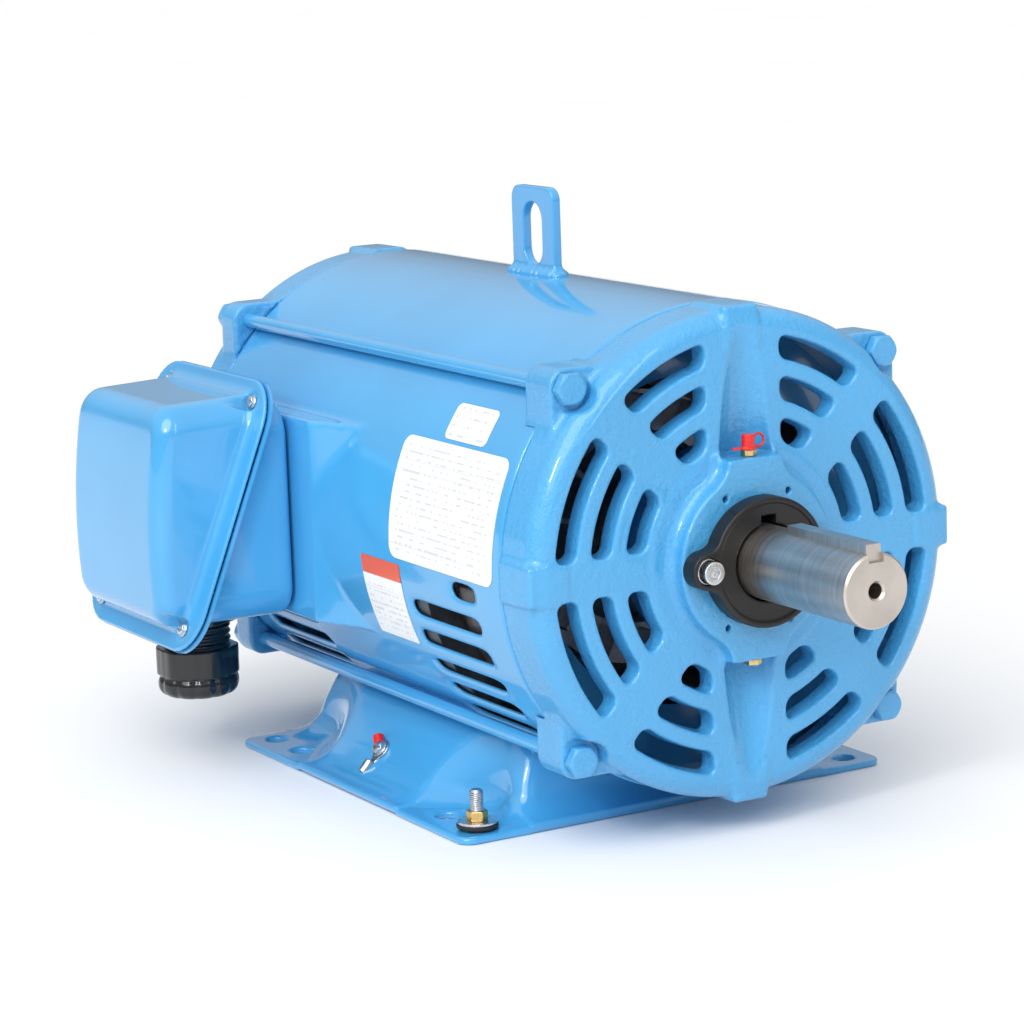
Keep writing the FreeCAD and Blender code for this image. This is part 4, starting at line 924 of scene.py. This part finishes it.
def make_floor():
    half = 30.0                # metres
    floor = mesh_piece("floor", [(-half, -half, 0), (half, -half, 0), (half, half, 0),
                                 (-half, half, 0)], [(0, 1, 2, 3)])
    made = Nodes("pale_floor")
    tint = made.mix(made.noise(3.0), (0.88, 0.88, 0.89, 1), (0.92, 0.92, 0.92, 1))
    floor.data.materials.append(made.finish(Base_Color=tint, Roughness=0.6))


def make_sky():
    """The studio is bright overhead and dimmer towards the horizon."""
    world = bpy.data.worlds.new("studio")
    world.use_nodes = True
    sky = world.node_tree.nodes["Background"]
    sky.inputs["Color"].default_value = (1.0, 1.0, 1.0, 1)
    place = world.node_tree.nodes.new("ShaderNodeTexCoord").outputs["Generated"]
    parts = world.node_tree.nodes.new("ShaderNodeSeparateXYZ")
    rise = world.node_tree.nodes.new("ShaderNodeMapRange")
    for socket, number in (("From Max", 0.7), ("To Min", 0.20), ("To Max", 0.92)):
        rise.inputs[socket].default_value = number
    world.node_tree.links.new(place, parts.inputs[0])
    world.node_tree.links.new(parts.outputs["Z"], rise.inputs["Value"])
    world.node_tree.links.new(rise.outputs["Result"], sky.inputs["Strength"])
    bpy.context.scene.world = world


def make_lights():
    """A wide soft key from the front left, a small window for highlights and a narrow strip."""
    soft = bpy.data.lights.new("soft_key", "SUN")
    soft.energy, soft.angle = 1.75, math.radians(50)
    key = bpy.data.objects.new("soft_key", soft)
    bpy.context.scene.collection.objects.link(key)
    key.rotation_euler = Vector((-0.5, 0.62, -0.75)).to_track_quat("-Z", "Y").to_euler()
    area_light("window", (0.9, -1.5, 1.1), (0.22, 0.3), 6.5)
    area_light("strip", (1.9, 0.2, 1.2), (0.2, 1.5), 4.0)


def make_camera():
    """The camera looks down a little from the driven end's left, rolled two degrees."""
    azimuth, height, roll = (math.radians(angle) for angle in (59.97, 10.65, -2.03))
    back = Vector((math.sin(azimuth) * math.cos(height), -math.cos(azimuth) * math.cos(height),
                   math.sin(height)))
    right = (-back).cross(Vector((0, 0, 1))).normalized()
    up = right.cross(-back)
    across = right * math.cos(roll) + up * math.sin(roll)
    above = up * math.cos(roll) - right * math.sin(roll)
    camera = bpy.data.cameras.new("camera")
    camera.lens, camera.sensor_width = 118.1, 36.0
    camera.clip_start, camera.clip_end = 0.05, 60.0
    bpy.context.scene.view_settings.view_transform = "Standard"
    holder = bpy.data.objects.new("camera", camera)
    bpy.context.scene.collection.objects.link(holder)
    axes = Matrix((across, above, back)).transposed().to_4x4()
    holder.matrix_world = Matrix.Translation(Vector((1728.03, -1022.74, 530.61)) * MM) @ axes
    bpy.context.scene.camera = holder


# ---------------------------------------------------------------- making it all


def dress_nodes():
    """The CAD nodes whose shape is already right get their finish."""
    for name, node in frame["nodes"].items():
        node.data.materials.clear()
        # the gasket was painted over with the box
        slot = {"cover_gasket": "blue_sheet"}.get(name, SLOTS[name])
        node.data.materials.append(MATERIALS[slot])


make_camera()
make_floor()
make_sky()
make_lights()
dress_nodes()
end_shield("drive_endshield", 1, 184.0, 217.0, 228.0, 173.5, HEAD_SEAT, 24.0, 1.1)
end_shield("rear_endshield", -1, 187.0, 225.0, 231.8, 186.5, NUT_SEAT, 0.0, 1.5)
make_shell()
make_base()
make_lug()
make_conduit_box()
make_cover_screws()
make_gland()
make_bolts()
make_cap()
make_grease_point("drive_grease", 220.2, ("drive_grease_nipple", "drive_grease_cap",
                                          "drive_relief_plug"))
make_grease_point("rear_grease", -225.8, ("rear_grease_nipple", "rear_grease_cap",
                                          "rear_relief_plug"))
make_ground()
make_stud()
make_labels()
